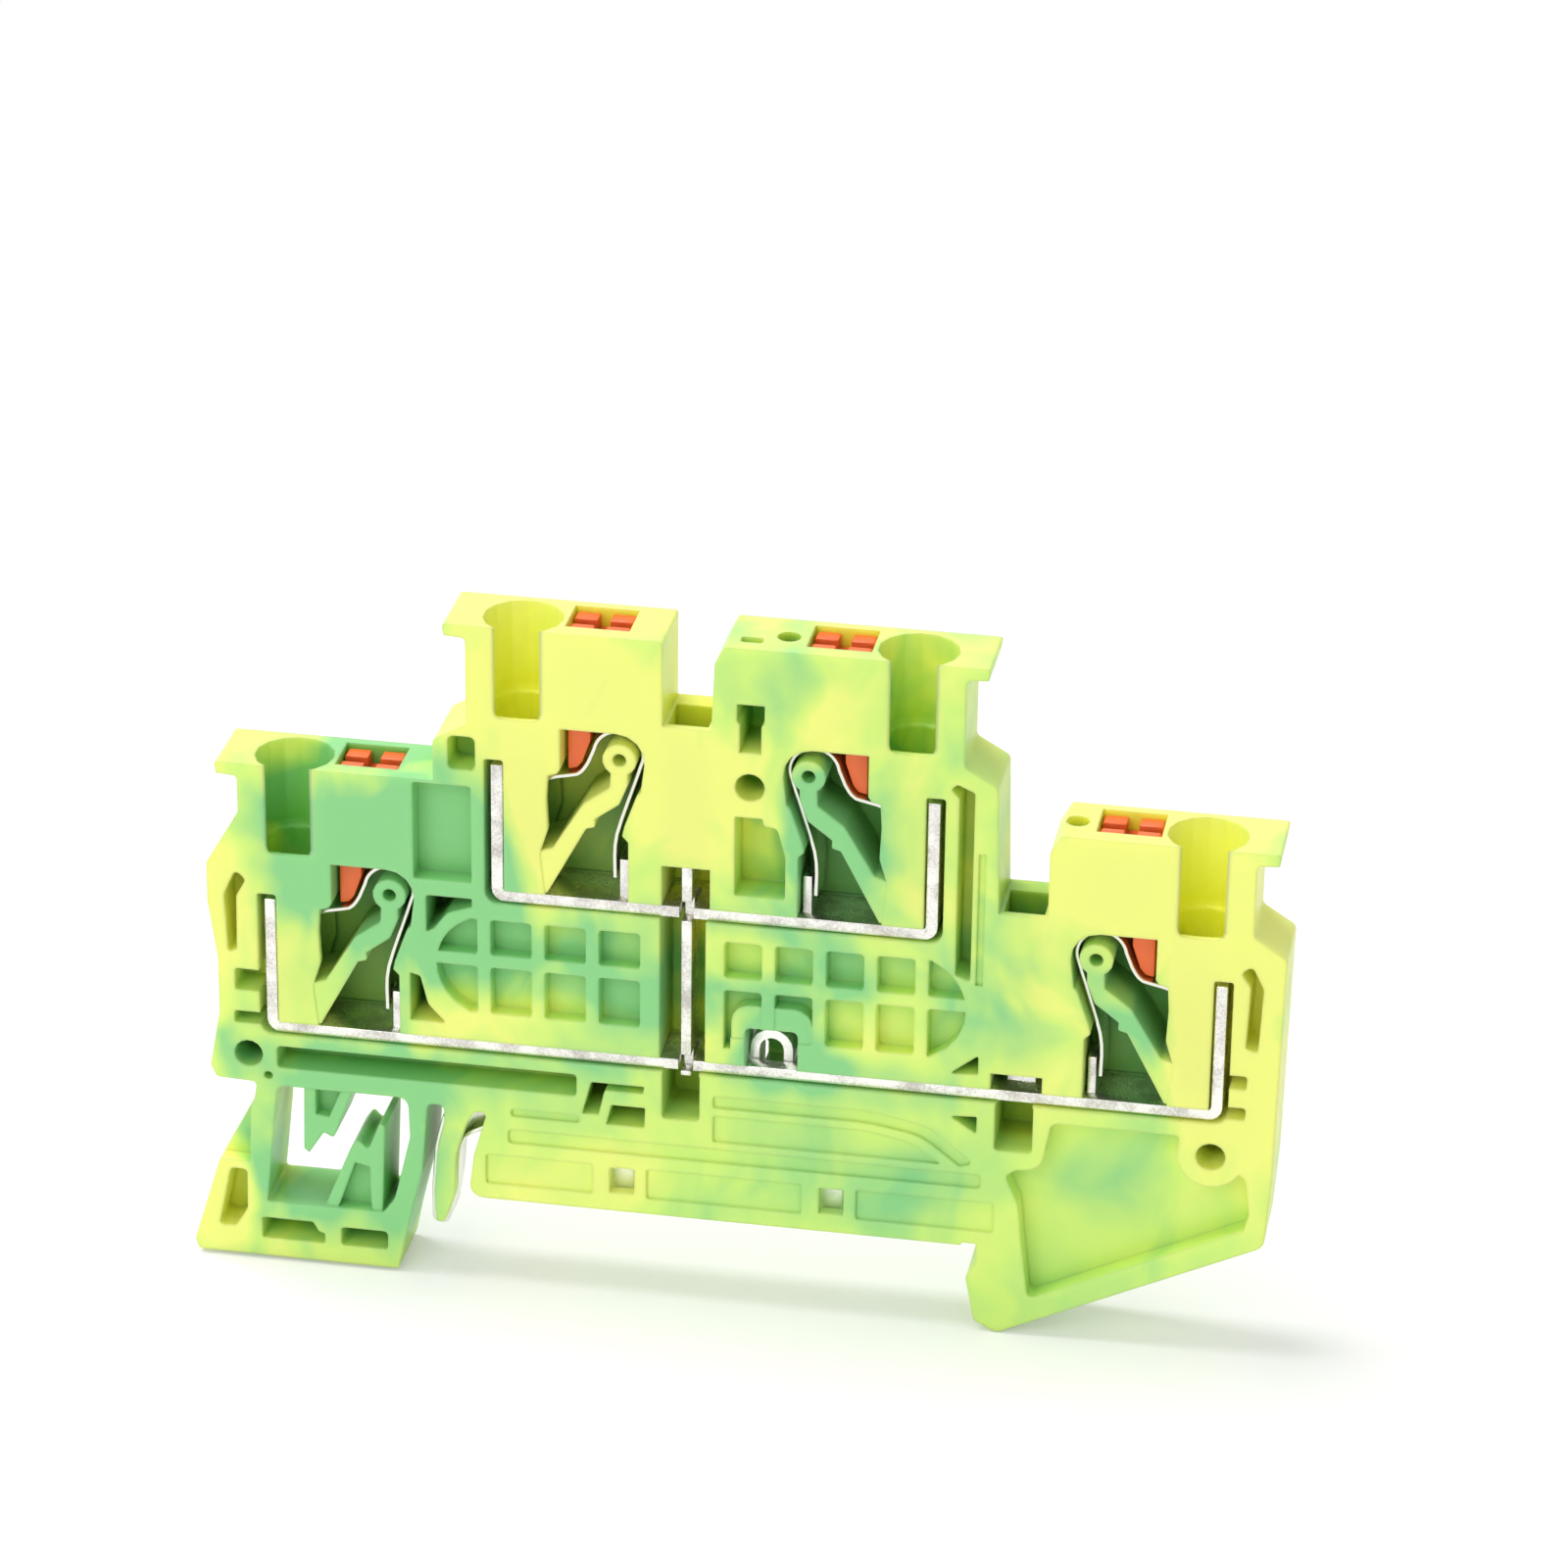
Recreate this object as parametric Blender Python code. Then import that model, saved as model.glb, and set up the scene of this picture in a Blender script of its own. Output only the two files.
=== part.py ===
"""Double level terminal block for a 35 mm rail, with four push-in spring clamps, one in each tower.

The housing is one moulding, 5.2 mm thick and open at the front (-Y), where the next block closes it.
X runs along the block, Y along the rail and Z up. The origin is where the block's foot sits on the rail.
All sizes below are millimetres. Meshes are made in metres.
"""

import math

import bmesh
import bpy
from mathutils import Vector

MM = 0.001

# Housing walls and depths
THICKNESS = 5.2
BACK_WALL = 0.8
FACE_WALL = 0.5
FOOT_FACE = 0.9
PANEL_DEPTH = 1.2
WEB_DEPTH = 1.5
RECESS_DEPTH = 2.6
RELIEF_DEPTH = 0.2
RIB = 0.85

# Rail that the block snaps on
RAIL_WIDTH = 35.0
RAIL_LIP = 1.2
FOOT_DEPTH = 6.0

# Levels, measured up from the rail seat
LOWER_BAR_Z = 10.75
LEVEL_STEP = 11.05
BOSS_RISE = 10.1
TOWER_RISE = 8.5
VALLEY_RISE = 2.65

# Places along the block
LOWER_LEFT_X = -21.25
UPPER_LEFT_X = -6.1
UPPER_RIGHT_X = 6.1
LOWER_RIGHT_X = 24.8
LINK_X = -1.75
BRIDGE_X = 20.05
VALLEY_WIDTH = 3.15
FLANK_REACH = 12.15

# Current bars and the link between them
BAR_THICK = 0.75
BAR_WIDTH = 3.8
BAR_INSET = 0.3
BAR_BEND = 0.9
LEG_REACH = 8.05
LEG_DROP = 1.2
TAB_THICK = 0.55
TAB_HEIGHT = 2.6
TAB_WIDTH = 2.2
LANCE_WIDTH = 1.9
LINK_THICK = 0.7
LINK_WIDTH = 2.9
LINK_NECK = 1.7
LINK_TIP = 0.45

# Clamp spring and the boss it hangs on
SPRING_THICK = 0.25
SPRING_WIDTH = 3.2
SPRING_INSET = 0.9
SPRING_GAP = 0.17
LOOP_RADIUS = 1.6
BOSS_RADIUS = 1.1
BOSS_BORE = 0.45

# Wire entry and push button
ENTRY_RADIUS = 2.6
ENTRY_WALL = 0.4
ENTRY_INSET = 2.1
ENTRY_RISE = 2.1
WIRE_RADIUS = 1.25
BUTTON_REACH = 1.65
BUTTON_LENGTH = 3.9
BUTTON_WIDTH = 3.1
BUTTON_INSET = 1.3
BUTTON_HEAD = 3.6
BUTTON_SUNK = 0.3
BUTTON_TRAVEL = 1.8
CROSS_GROOVE = 0.8
GROOVE_DEPTH = 0.9
PROBE_RADIUS = 0.75
PROBE_DEPTH = 3.0

# Earth strap and rail clip in the foot
STRAP_THICK = 0.6
STRAP_RUN_Z = 5.4
STRAP_INSET = 1.05
ARCH_X = 3.7
ARCH_SPAN = 2.2
ARCH_HEIGHT = 2.15
ARCH_INSET = 1.55
ARCH_WIDTH = 2.3
POST_XS = (-5.95, 7.95)
POST_WIDTH = 1.3
POST_THICK = 0.6
POST_FOOT_Z = 1.2
CLIP_THICK = 0.3
CLIP_WIDTH = 2.8

# Gap that separate pieces keep
CLEAR = 0.12

# Places that follow from the sizes above
FRONT = -THICKNESS / 2
BACK = THICKNESS / 2
OUT = 1.0
FLOOR = BACK - BACK_WALL
BAR_FRONT = FRONT + BAR_INSET
BAR_BACK = BAR_FRONT + BAR_WIDTH
LOWER_TOP = LOWER_BAR_Z + BAR_THICK
UPPER_BAR_Z = LOWER_BAR_Z + LEVEL_STEP
UPPER_TOP = UPPER_BAR_Z + BAR_THICK
EDGE = RAIL_WIDTH / 2
LOOP_SHIFT = LOOP_RADIUS - SPRING_THICK / 2 - BOSS_RADIUS - SPRING_GAP
ENTRY_REACH = BUTTON_REACH + BUTTON_LENGTH / 2 + ENTRY_WALL + ENTRY_RADIUS
ARCH_TOP = LOOP_RADIUS + SPRING_THICK / 2 + CLEAR
HEAD_TOP = TOWER_RISE - BUTTON_SUNK
HEAD_FOOT = HEAD_TOP - BUTTON_HEAD
BUTTON_FRONT = FRONT + BUTTON_INSET
BUTTON_BACK = BUTTON_FRONT + BUTTON_WIDTH
STRAP_FRONT = FRONT + STRAP_INSET
ARCH_FRONT = FRONT + ARCH_INSET
ARCH_BACK = ARCH_FRONT + ARCH_WIDTH
ARCH_SIDE = ARCH_SPAN / 2 + STRAP_THICK / 2 + CLEAR
ARC_STEP = math.radians(24)


class Clamp:
    """One spring clamp: where its boss stands, and the side its wire goes in."""

    def __init__(self, name, x, bar_top, side):
        self.name = name
        self.x = x
        self.z = bar_top + BOSS_RISE
        self.side = side

    def at(self, reach, rise):
        """A point this far toward the wire entry and this far above the boss."""
        return (self.x + self.side * reach, self.z + rise)

    def ring(self, points):
        """The same for a list of points, which may carry a corner radius."""
        return [self.at(p[0], p[1]) + tuple(p[2:]) for p in points]


CLAMPS = (
    Clamp("lower_left", LOWER_LEFT_X, LOWER_TOP, -1),
    Clamp("upper_left", UPPER_LEFT_X, UPPER_TOP, -1),
    Clamp("upper_right", UPPER_RIGHT_X, UPPER_TOP, 1),
    Clamp("lower_right", LOWER_RIGHT_X, LOWER_TOP, 1),
)
LOWER_LEFT, UPPER_LEFT, UPPER_RIGHT, LOWER_RIGHT = CLAMPS


def arc(centre, radius, start, end):
    """Points along an arc, from one angle to another, in degrees."""
    sweep = math.radians(end - start)
    steps = max(2, math.ceil(abs(sweep) / ARC_STEP))
    angles = [math.radians(start) + sweep * i / steps for i in range(steps + 1)]
    return [(centre[0] + radius * math.cos(a), centre[1] + radius * math.sin(a)) for a in angles]


def circle(centre, radius):
    """A closed ring of points round a centre."""
    return arc(centre, radius, 0, 360)[:-1]


def box_ring(x0, x1, z0, z1, radius=0.0):
    """A rectangle, with rounded corners if a radius is given."""
    return [(x0, z0, radius), (x1, z0, radius), (x1, z1, radius), (x0, z1, radius)]


def turned(vector, angle):
    """A flat vector turned by an angle."""
    return Vector((
        vector.x * math.cos(angle) - vector.y * math.sin(angle),
        vector.x * math.sin(angle) + vector.y * math.cos(angle),
    ))


def rounded(points, closed=True):
    """Turns the corners that carry a radius into arcs, which never take up more than their sides."""
    flat = []
    count = len(points)
    for i, point in enumerate(points):
        here = Vector(point[:2])
        radius = point[2] if len(point) > 2 else 0
        if radius == 0 or (not closed and i in (0, count - 1)):
            flat.append(tuple(here))
            continue
        before = Vector(points[i - 1][:2]) - here
        after = Vector(points[(i + 1) % count][:2]) - here
        half = before.angle(after) / 2
        run = min(radius / math.tan(half), 0.45 * before.length, 0.45 * after.length)
        reach = run / math.cos(half)
        centre = here + (before.normalized() + after.normalized()).normalized() * reach
        first = here + before.normalized() * run - centre
        last = here + after.normalized() * run - centre
        turn = first.angle_signed(last)
        steps = max(1, math.ceil(abs(turn) / ARC_STEP))
        flat += [tuple(centre + turned(first, -turn * k / steps)) for k in range(steps + 1)]
    return flat


def beside(line, offset):
    """A line moved sideways: to its left if the offset is positive."""
    line = [Vector(p) for p in line]
    moved = []
    for i, here in enumerate(line):
        ahead = line[min(i + 1, len(line) - 1)] - here
        behind = here - line[max(i - 1, 0)]
        ahead = (ahead if ahead.length else behind).normalized()
        behind = (behind if behind.length else ahead).normalized()
        along = (ahead + behind).normalized()
        normal = Vector((-along.y, along.x))
        moved.append(tuple(here + normal * offset / max(0.5, along.dot(ahead))))
    return moved


def ribbon(line, thick):
    """The outline of a strip of this thickness along a centre line."""
    return beside(line, thick / 2) + beside(line, -thick / 2)[::-1]


AXES = {
    "y": lambda u, v, depth: (u, depth, v),
    "z": lambda u, v, depth: (u, v, depth),
    "x": lambda u, v, depth: (depth, u, v),
}


def add_prism(shape, ring, start, end, along="y"):
    """Adds a closed prism: a ring drawn across one axis, from start to end along it."""
    place = AXES[along]
    corners = [shape.verts.new(Vector(place(u, v, start)) * MM) for u, v in rounded(ring)]
    face = shape.faces.new(corners)
    grown = bmesh.ops.extrude_face_region(shape, geom=[face])
    moved = [g for g in grown["geom"] if isinstance(g, bmesh.types.BMVert)]
    shift = Vector(place(0, 0, end)) - Vector(place(0, 0, start))
    bmesh.ops.translate(shape, verts=moved, vec=shift * MM)


def add_turned(shape, _, centre, profile):
    """Adds a closed upright solid, turned round a centre from (radius, height) pairs."""
    rings = []
    for radius, height in profile:
        rings.append([shape.verts.new(Vector((x, y, height)) * MM) for x, y in circle(centre, radius)])
    shape.faces.new(rings[0])
    shape.faces.new(rings[-1])
    for low, high in zip(rings, rings[1:]):
        for i in range(len(low)):
            shape.faces.new((low[i - 1], low[i], high[i], high[i - 1]))


def make_object(name, prisms):
    """One mesh object from a list of solids, given as add_prism or add_turned takes them."""
    shape = bmesh.new()
    for prism in prisms:
        add = add_turned if prism[0] == "turned" else add_prism
        add(shape, *prism)
    bmesh.ops.recalc_face_normals(shape, faces=shape.faces)
    mesh = bpy.data.meshes.new(name)
    shape.to_mesh(mesh)
    shape.free()
    piece = bpy.data.objects.new(name, mesh)
    bpy.context.scene.collection.objects.link(piece)
    return piece


def combine(piece, name, prisms, operation):
    """Works a group of separate prisms into a piece."""
    tool = make_object(name, prisms)
    tool.hide_render = True
    tool.display_type = "WIRE"
    step = piece.modifiers.new(name, "BOOLEAN")
    step.operation = operation
    step.solver = "EXACT"
    step.object = tool
    return tool


def cut(piece, name, prisms):
    """Cuts separate prisms out of a piece."""
    return combine(piece, name, prisms, "DIFFERENCE")


def join(piece, name, prisms):
    """Joins separate prisms to a piece."""
    return combine(piece, name, prisms, "UNION")


def material(name, colour, roughness, metallic):
    """A plain surface in the piece's own colour."""
    made = bpy.data.materials.new(name)
    made.use_nodes = True
    shader = made.node_tree.nodes["Principled BSDF"]
    shader.inputs["Base Color"].default_value = (*colour, 1)
    shader.inputs["Roughness"].default_value = roughness
    shader.inputs["Metallic"].default_value = metallic
    return made


def flank(clamp, shoulder, waist):
    """The outer side of a tower, from its top edge down: lip, marker groove and shoulder."""
    lip = TOWER_RISE - 0.8
    return clamp.ring([
        (FLANK_REACH - 0.7, TOWER_RISE, 0.2), (FLANK_REACH - 0.8, lip, 0.1),
        (FLANK_REACH - 2.2, lip - 0.1, 0.3), (FLANK_REACH - 2.2, waist, 0.4), (FLANK_REACH, shoulder, 0.5),
    ])


def left_side():
    """The left end below its tower, down to the foot's corner."""
    x = LOWER_LEFT_X - FLANK_REACH
    z = LOWER_BAR_Z
    return [
        (x, z + 9.3, 0.4), (x + 0.6, z + 5.2, 0.3), (x + 0.6, z + 1.2, 0.3), (x - 0.1, z - 2.75, 0.5),
        (x + 0.3, z - 3.6, 0.3), (-EDGE - 12.9, z - 3.7, 0.3), (-EDGE - 13.1, z - 5.1, 0.2),
        (-EDGE - 15.6, 0.9, 1), (-EDGE - 17.4, 0.8 - FOOT_DEPTH, 0.4), (-EDGE - 17.2, -FOOT_DEPTH, 0.4),
    ]


def foot_and_finger():
    """The foot's inner wall, the slot beside it, and the sprung finger that grips the rail's left edge."""
    z = LOWER_BAR_Z
    return [
        (-EDGE - 3.5, -FOOT_DEPTH, 0.2), (-EDGE - 3.0, 2.5 - FOOT_DEPTH, 1), (-EDGE - 1.8, 1.5, 1),
        (-EDGE - 1.4, z - 4.1, 0.45), (-EDGE - 0.25, z - 4.1, 0.45), (-EDGE - 0.3, z - 5.5, 0.5),
        (-EDGE - 0.8, 3.0, 1), (-EDGE - 1.0, 0.0, 1), (-EDGE - 0.9, -RAIL_LIP - 1.0, 0.3),
        (-EDGE - 0.3, -RAIL_LIP - 0.8, 0.3), (-EDGE + 0.4, 0.0, 1), (-EDGE + 0.5, 3.0, 1),
        (-EDGE + 1.2, z - 5.4, 0.8), (-EDGE + 1.8, z - 4.4, 0.45), (-EDGE + 2.6, z - 4.4, 0.45),
    ]


def seat_and_hook():
    """The flat seat on the rail, and the fixed hook under the rail's right edge."""
    return [
        (-EDGE + 1.7, 3.2, 1), (-EDGE + 1.3, 0.0, 0.9), (EDGE - 0.9, 0.0), (EDGE - 0.8, 0.2, 0.1),
        (EDGE + 0.15, 0.2, 0.15), (EDGE + 0.15, -RAIL_LIP, 0.1), (EDGE - 0.5, -RAIL_LIP - 1.2, 0.3),
        (EDGE + 0.1, 0.5 - FOOT_DEPTH, 0.5), (EDGE + 1.6, -FOOT_DEPTH - 0.3, 0.6),
    ]


def right_side():
    """The right end below its tower, from the hook up."""
    x = LOWER_RIGHT_X + FLANK_REACH - 0.3
    return [(x - 0.3, 2.0, 0.9), (x, LOWER_BAR_Z - 4.0, 1)]


def valleys():
    """The two valleys with the bridge shafts, from right to left."""
    half = VALLEY_WIDTH / 2
    right_floor = LOWER_RIGHT.z + VALLEY_RISE
    left_floor = UPPER_LEFT.z + VALLEY_RISE
    top = LOWER_RIGHT.z + TOWER_RISE
    upper_top = UPPER_LEFT.z + TOWER_RISE
    right = [
        (BRIDGE_X + half + 0.7, top, 0.2), (BRIDGE_X + half, top - 1.3, 0.2), (BRIDGE_X + half, right_floor),
        (BRIDGE_X - half, right_floor),
    ]
    left = [
        (LINK_X + half + 0.8, upper_top, 0.2), (LINK_X + half + 0.2, upper_top - 1.2, 0.2),
        (LINK_X + half, left_floor), (LINK_X - half, left_floor), (LINK_X - half, upper_top, 0.2),
    ]
    return right, left


def outline():
    """The whole housing seen from the front, starting below the left tower."""
    right_valley, left_valley = valleys()
    step = [(UPPER_LEFT_X - FLANK_REACH, LOWER_LEFT.z + TOWER_RISE)]
    return (
        left_side() + foot_and_finger() + seat_and_hook() + right_side()
        + flank(LOWER_RIGHT, 1.2, 2.6)[::-1] + right_valley + flank(UPPER_RIGHT, 0.35, 1.6)[::-1]
        + left_valley + flank(UPPER_LEFT, 0.35, 1.6) + step + flank(LOWER_LEFT, 1.2, 5.0)
    )


def chamber(clamp):
    """The open space round a clamp's boss, where the spring works."""
    low = 0.05 - BOSS_RISE
    loop = arc((LOOP_SHIFT, 0), ARCH_TOP, 90, 185)
    return clamp.ring([(3.85, ARCH_TOP)] + loop + [
        (-1.4, -2.1, 0.1), (-1.15, -2.35, 0.1), (-0.35, -4.6, 0.5), (-0.2, -5.3, 0.1), (-0.6, -5.7, 0.1),
        (-0.6, low), (4.85, low), (5.2, -7.1, 0.1), (4.65, -5.3, 0.6), (4.75, -3.1, 0.5), (4.65, -1.5, 0.1),
        (4.05, -1.3, 0.1), (3.85, -1.0, 0.1),
    ])


def spring_arm(clamp):
    """The arm that rises from the column's foot and carries the boss."""
    low = 0.3 - BOSS_RISE
    return clamp.ring([
        (4.7, low), (5.6, low), (5.6, -7.0), (4.35, -6.6, 0.2), (2.35, -3.3, 0.4), (0.6, -2.0, 0.3),
        (0.55, -0.6), (-0.55, -0.6), (-0.55, -1.7, 0.3), (0.0, -3.1, 0.3), (1.6, -4.3, 0.1),
        (1.55, -4.85, 0.2), (2.15, -5.0, 0.1),
    ])


def spring_line(clamp):
    """The centre line of a clamp spring, from its fixed end round the boss to its free end."""
    fixed = [(0.42, -8.7), (0.45, -7.2, 0.8), (0.3, -5.6, 1.2)]
    loop = arc((LOOP_SHIFT, 0), LOOP_RADIUS, 190, 10)
    tip = (LEG_REACH - BAR_THICK / 2 - SPRING_THICK, -3.45)
    free = [(2.4, -1.1, 0.4), (2.85, -1.65, 0.3), (4.6, -2.0, 1.5), tip]
    return rounded(clamp.ring(fixed + loop + free), closed=False)


def button_ring(clamp):
    """A push button from the side: its head, and the leg that follows the spring down."""
    outer = BUTTON_REACH + BUTTON_LENGTH / 2
    inner = BUTTON_REACH - BUTTON_LENGTH / 2
    gap = SPRING_THICK / 2 + SPRING_GAP
    loop_side = LOOP_SHIFT + LOOP_RADIUS
    edge = beside([(loop_side + 0.05, 0.5), (2.4, -1.1), (2.85, -1.65), (3.3, -1.74)], gap)
    return clamp.ring([
        (inner, HEAD_TOP, 0.2), (inner, HEAD_FOOT, 0.1), (edge[0][0], HEAD_FOOT), *edge,
        (outer, edge[-1][1] - 0.05), (outer, HEAD_TOP, 0.2),
    ])


def button_cross(clamp):
    """The crossed grooves that leave four posts on a button's head."""
    x, _ = clamp.at(BUTTON_REACH, 0)
    y = (BUTTON_FRONT + BUTTON_BACK) / 2
    g = CROSS_GROOVE / 2
    far_x = BUTTON_LENGTH / 2 + OUT
    far_y = BUTTON_WIDTH / 2 + OUT
    return [
        (x - far_x, y - g), (x - g, y - g), (x - g, y - far_y), (x + g, y - far_y), (x + g, y - g),
        (x + far_x, y - g), (x + far_x, y + g), (x + g, y + g), (x + g, y + far_y), (x - g, y + far_y),
        (x - g, y + g), (x - far_x, y + g),
    ]


def bar_line(left_clamp, right_clamp, bottom):
    """The centre line of a bar with both ends bent up."""
    x0, top = left_clamp.at(LEG_REACH, -LEG_DROP)
    x1, _ = right_clamp.at(LEG_REACH, 0)
    mid = bottom + BAR_THICK / 2
    bend = BAR_BEND - BAR_THICK / 2
    return rounded([(x0, top), (x0, mid, bend), (x1, mid, bend), (x1, top)], closed=False)


def bar_channel(left_clamp, right_clamp, bottom):
    """The groove that a bar lies in, open at the front, with room outside its bent ends."""
    room = 0.4
    x0 = left_clamp.at(LEG_REACH, 0)[0] - BAR_THICK / 2
    x1 = right_clamp.at(LEG_REACH, 0)[0] + BAR_THICK / 2
    top = left_clamp.z - LEG_DROP + 0.5
    low = bottom - CLEAR
    high = bottom + BAR_THICK + CLEAR
    inner = BAR_THICK + CLEAR
    return [
        (x0 - room, low, BAR_BEND), (x1 + room, low, BAR_BEND), (x1 + room, top, 0.2), (x1 - inner, top, 0.2),
        (x1 - inner, high), (x0 + inner, high), (x0 + inner, top, 0.2), (x0 - room, top, 0.2),
    ]


def panel_cells(inner, outer, columns, low, high):
    """The sunk cells of a ribbed panel: square near the middle of the block, round at its outer end."""
    side = 1 if outer > inner else -1
    middle = low + (high - low) * 0.56
    half = (high - low) / 2
    centre_z = (low + high) / 2
    swell = half + 0.3
    pitch = (outer - inner + side * RIB) / columns
    cells = []
    for column in range(columns):
        near = inner + pitch * column
        far = near + pitch - side * RIB
        for z0, z1 in ((low, middle - RIB / 2), (middle + RIB / 2, high)):
            ends = [(far, z0, 0.25), (far, z1, 0.25)]
            if column == columns - 1:
                heights = [z0 + (z1 - z0) * k / 5 for k in range(6)]
                bulge = [math.sqrt(1 - ((z - centre_z) / swell) ** 2) for z in heights]
                ends = [(outer - side * swell * (1 - b), z) for b, z in zip(bulge, heights)]
            ring = [(near, z0, 0.25), *ends, (near, z1, 0.25)]
            cells.append((ring, FRONT - OUT, FRONT + PANEL_DEPTH))
    return cells


def deck_pockets():
    """Pockets in the deck under the lower bar and in the foot, as rings with their depth."""
    z = LOWER_BAR_Z
    foot_box = [
        (-EDGE - 11.5, z - 3.85, 0.5), (-EDGE - 2.7, z - 3.85, 0.7), (-EDGE - 2.6, 4.0, 1),
        (-EDGE - 3.7, -0.8, 1), (-EDGE - 4.5, 4.1 - FOOT_DEPTH, 0.3), (-EDGE - 12.4, 4.1 - FOOT_DEPTH, 0.2),
    ]
    right_hole = (LOWER_RIGHT_X + 7.85, z - 2.5)
    right_web = [
        (BRIDGE_X + 2.25, z - 1.15, 0.6), (LOWER_RIGHT_X + 5.8, z - 1.15, 0.3),
        *arc(right_hole, 2.2, 165, 330),
        (LOWER_RIGHT_X + 10.2, z - 4.0, 0.4), (LOWER_RIGHT_X + 10.5, z - 6.5, 0.5),
        (LOWER_RIGHT_X + 10.2, 3.1, 0.4), (EDGE + 3.6, 2.4 - FOOT_DEPTH, 0.4), (EDGE + 3.1, 0.5, 0.5),
        (EDGE + 2.8, 3.4, 1), (EDGE + 1.9, z - 5.4, 0.4), (EDGE + 2.5, z - 4.85, 0.3),
        (EDGE + 4.2, z - 4.6, 1),
    ]
    left_step = [
        (-EDGE - 13.5, 1.0), (-EDGE - 13.3, z - 4.4), (-EDGE - 16.0, z - 4.4), (-EDGE - 18.5, 1.0),
    ]
    outer_web = [
        (-EDGE - 13.7, 0.4, 0.3), (-EDGE - 13.75, 3.4 - FOOT_DEPTH, 0.8),
        (-EDGE - 14.6, 2.0 - FOOT_DEPTH, 0.4), (-EDGE - 15.75, 2.0 - FOOT_DEPTH, 0.3),
        (-EDGE - 14.85, 0.4, 0.3),
    ]
    hook_slot = [
        (LINK_X - 6.8, z - 3.75, 0.1), (LINK_X - 5.7, z - 3.75, 0.1), (LINK_X - 5.3, z - 1.9, 0.2),
        (LINK_X - 2.75, z - 1.9, 0.1), (LINK_X - 2.65, z - 1.35, 0.1), (LINK_X - 6.2, z - 1.35, 0.2),
    ]
    wedge = [
        (LINK_X - 5.2, z - 4.4, 0.1), (LINK_X - 2.65, z - 4.4, 0.1), (LINK_X - 2.6, z - 2.9, 0.1),
        (LINK_X - 4.85, z - 2.9, 0.1),
    ]
    deep = FLOOR
    shallow = FRONT + RECESS_DEPTH
    return [
        (foot_box, BACK + OUT), (right_web, FRONT + WEB_DEPTH), (left_step, FRONT + PANEL_DEPTH),
        (outer_web, shallow), (hook_slot, deep), (wedge, deep),
        (circle((LOWER_LEFT_X - 9.65, z - 1.65), 0.97), deep),
        (circle(right_hole, 0.97), deep),
        (box_ring(-EDGE - 11.5, LINK_X - 7.15, z - 2.55, z - 0.9, 0.3), shallow),
        (box_ring(LINK_X - 1.5, LINK_X + 1.0, z - 3.55, z - 0.02, 0.3), deep),
        (box_ring(BRIDGE_X - 1.45, BRIDGE_X + 1.05, z - 3.55, z - 0.02, 0.3), deep),
        ([(-EDGE - 12.8, 1.3 - FOOT_DEPTH, 0.2), (-EDGE - 8.5, 1.3 - FOOT_DEPTH, 0.2),
          (-EDGE - 8.5, 2.1 - FOOT_DEPTH, 0.1), (-EDGE - 8.9, 2.2 - FOOT_DEPTH, 0.1),
          (-EDGE - 9.3, 2.9 - FOOT_DEPTH, 0.2), (-EDGE - 12.8, 2.9 - FOOT_DEPTH, 0.2)], shallow),
        (circle((-EDGE - 12.1, z - 3.15), 0.3), FRONT + PANEL_DEPTH),
        (box_ring(-EDGE - 7.4, -EDGE - 4.2, 1.3 - FOOT_DEPTH, 2.7 - FOOT_DEPTH, 0.3), shallow),
        ([(BRIDGE_X - 4.4, z - 1.3, 0.1), (BRIDGE_X - 2.6, z - 1.2, 0.1),
          (BRIDGE_X - 2.6, z - 2.5, 0.1)], deep),
        ([(BRIDGE_X - 4.5, LOWER_TOP + 1.0, 0.1), (BRIDGE_X - 2.6, LOWER_TOP + 1.1, 0.1),
          (BRIDGE_X - 2.6, LOWER_TOP + 2.5, 0.1)], deep),
    ]


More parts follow.
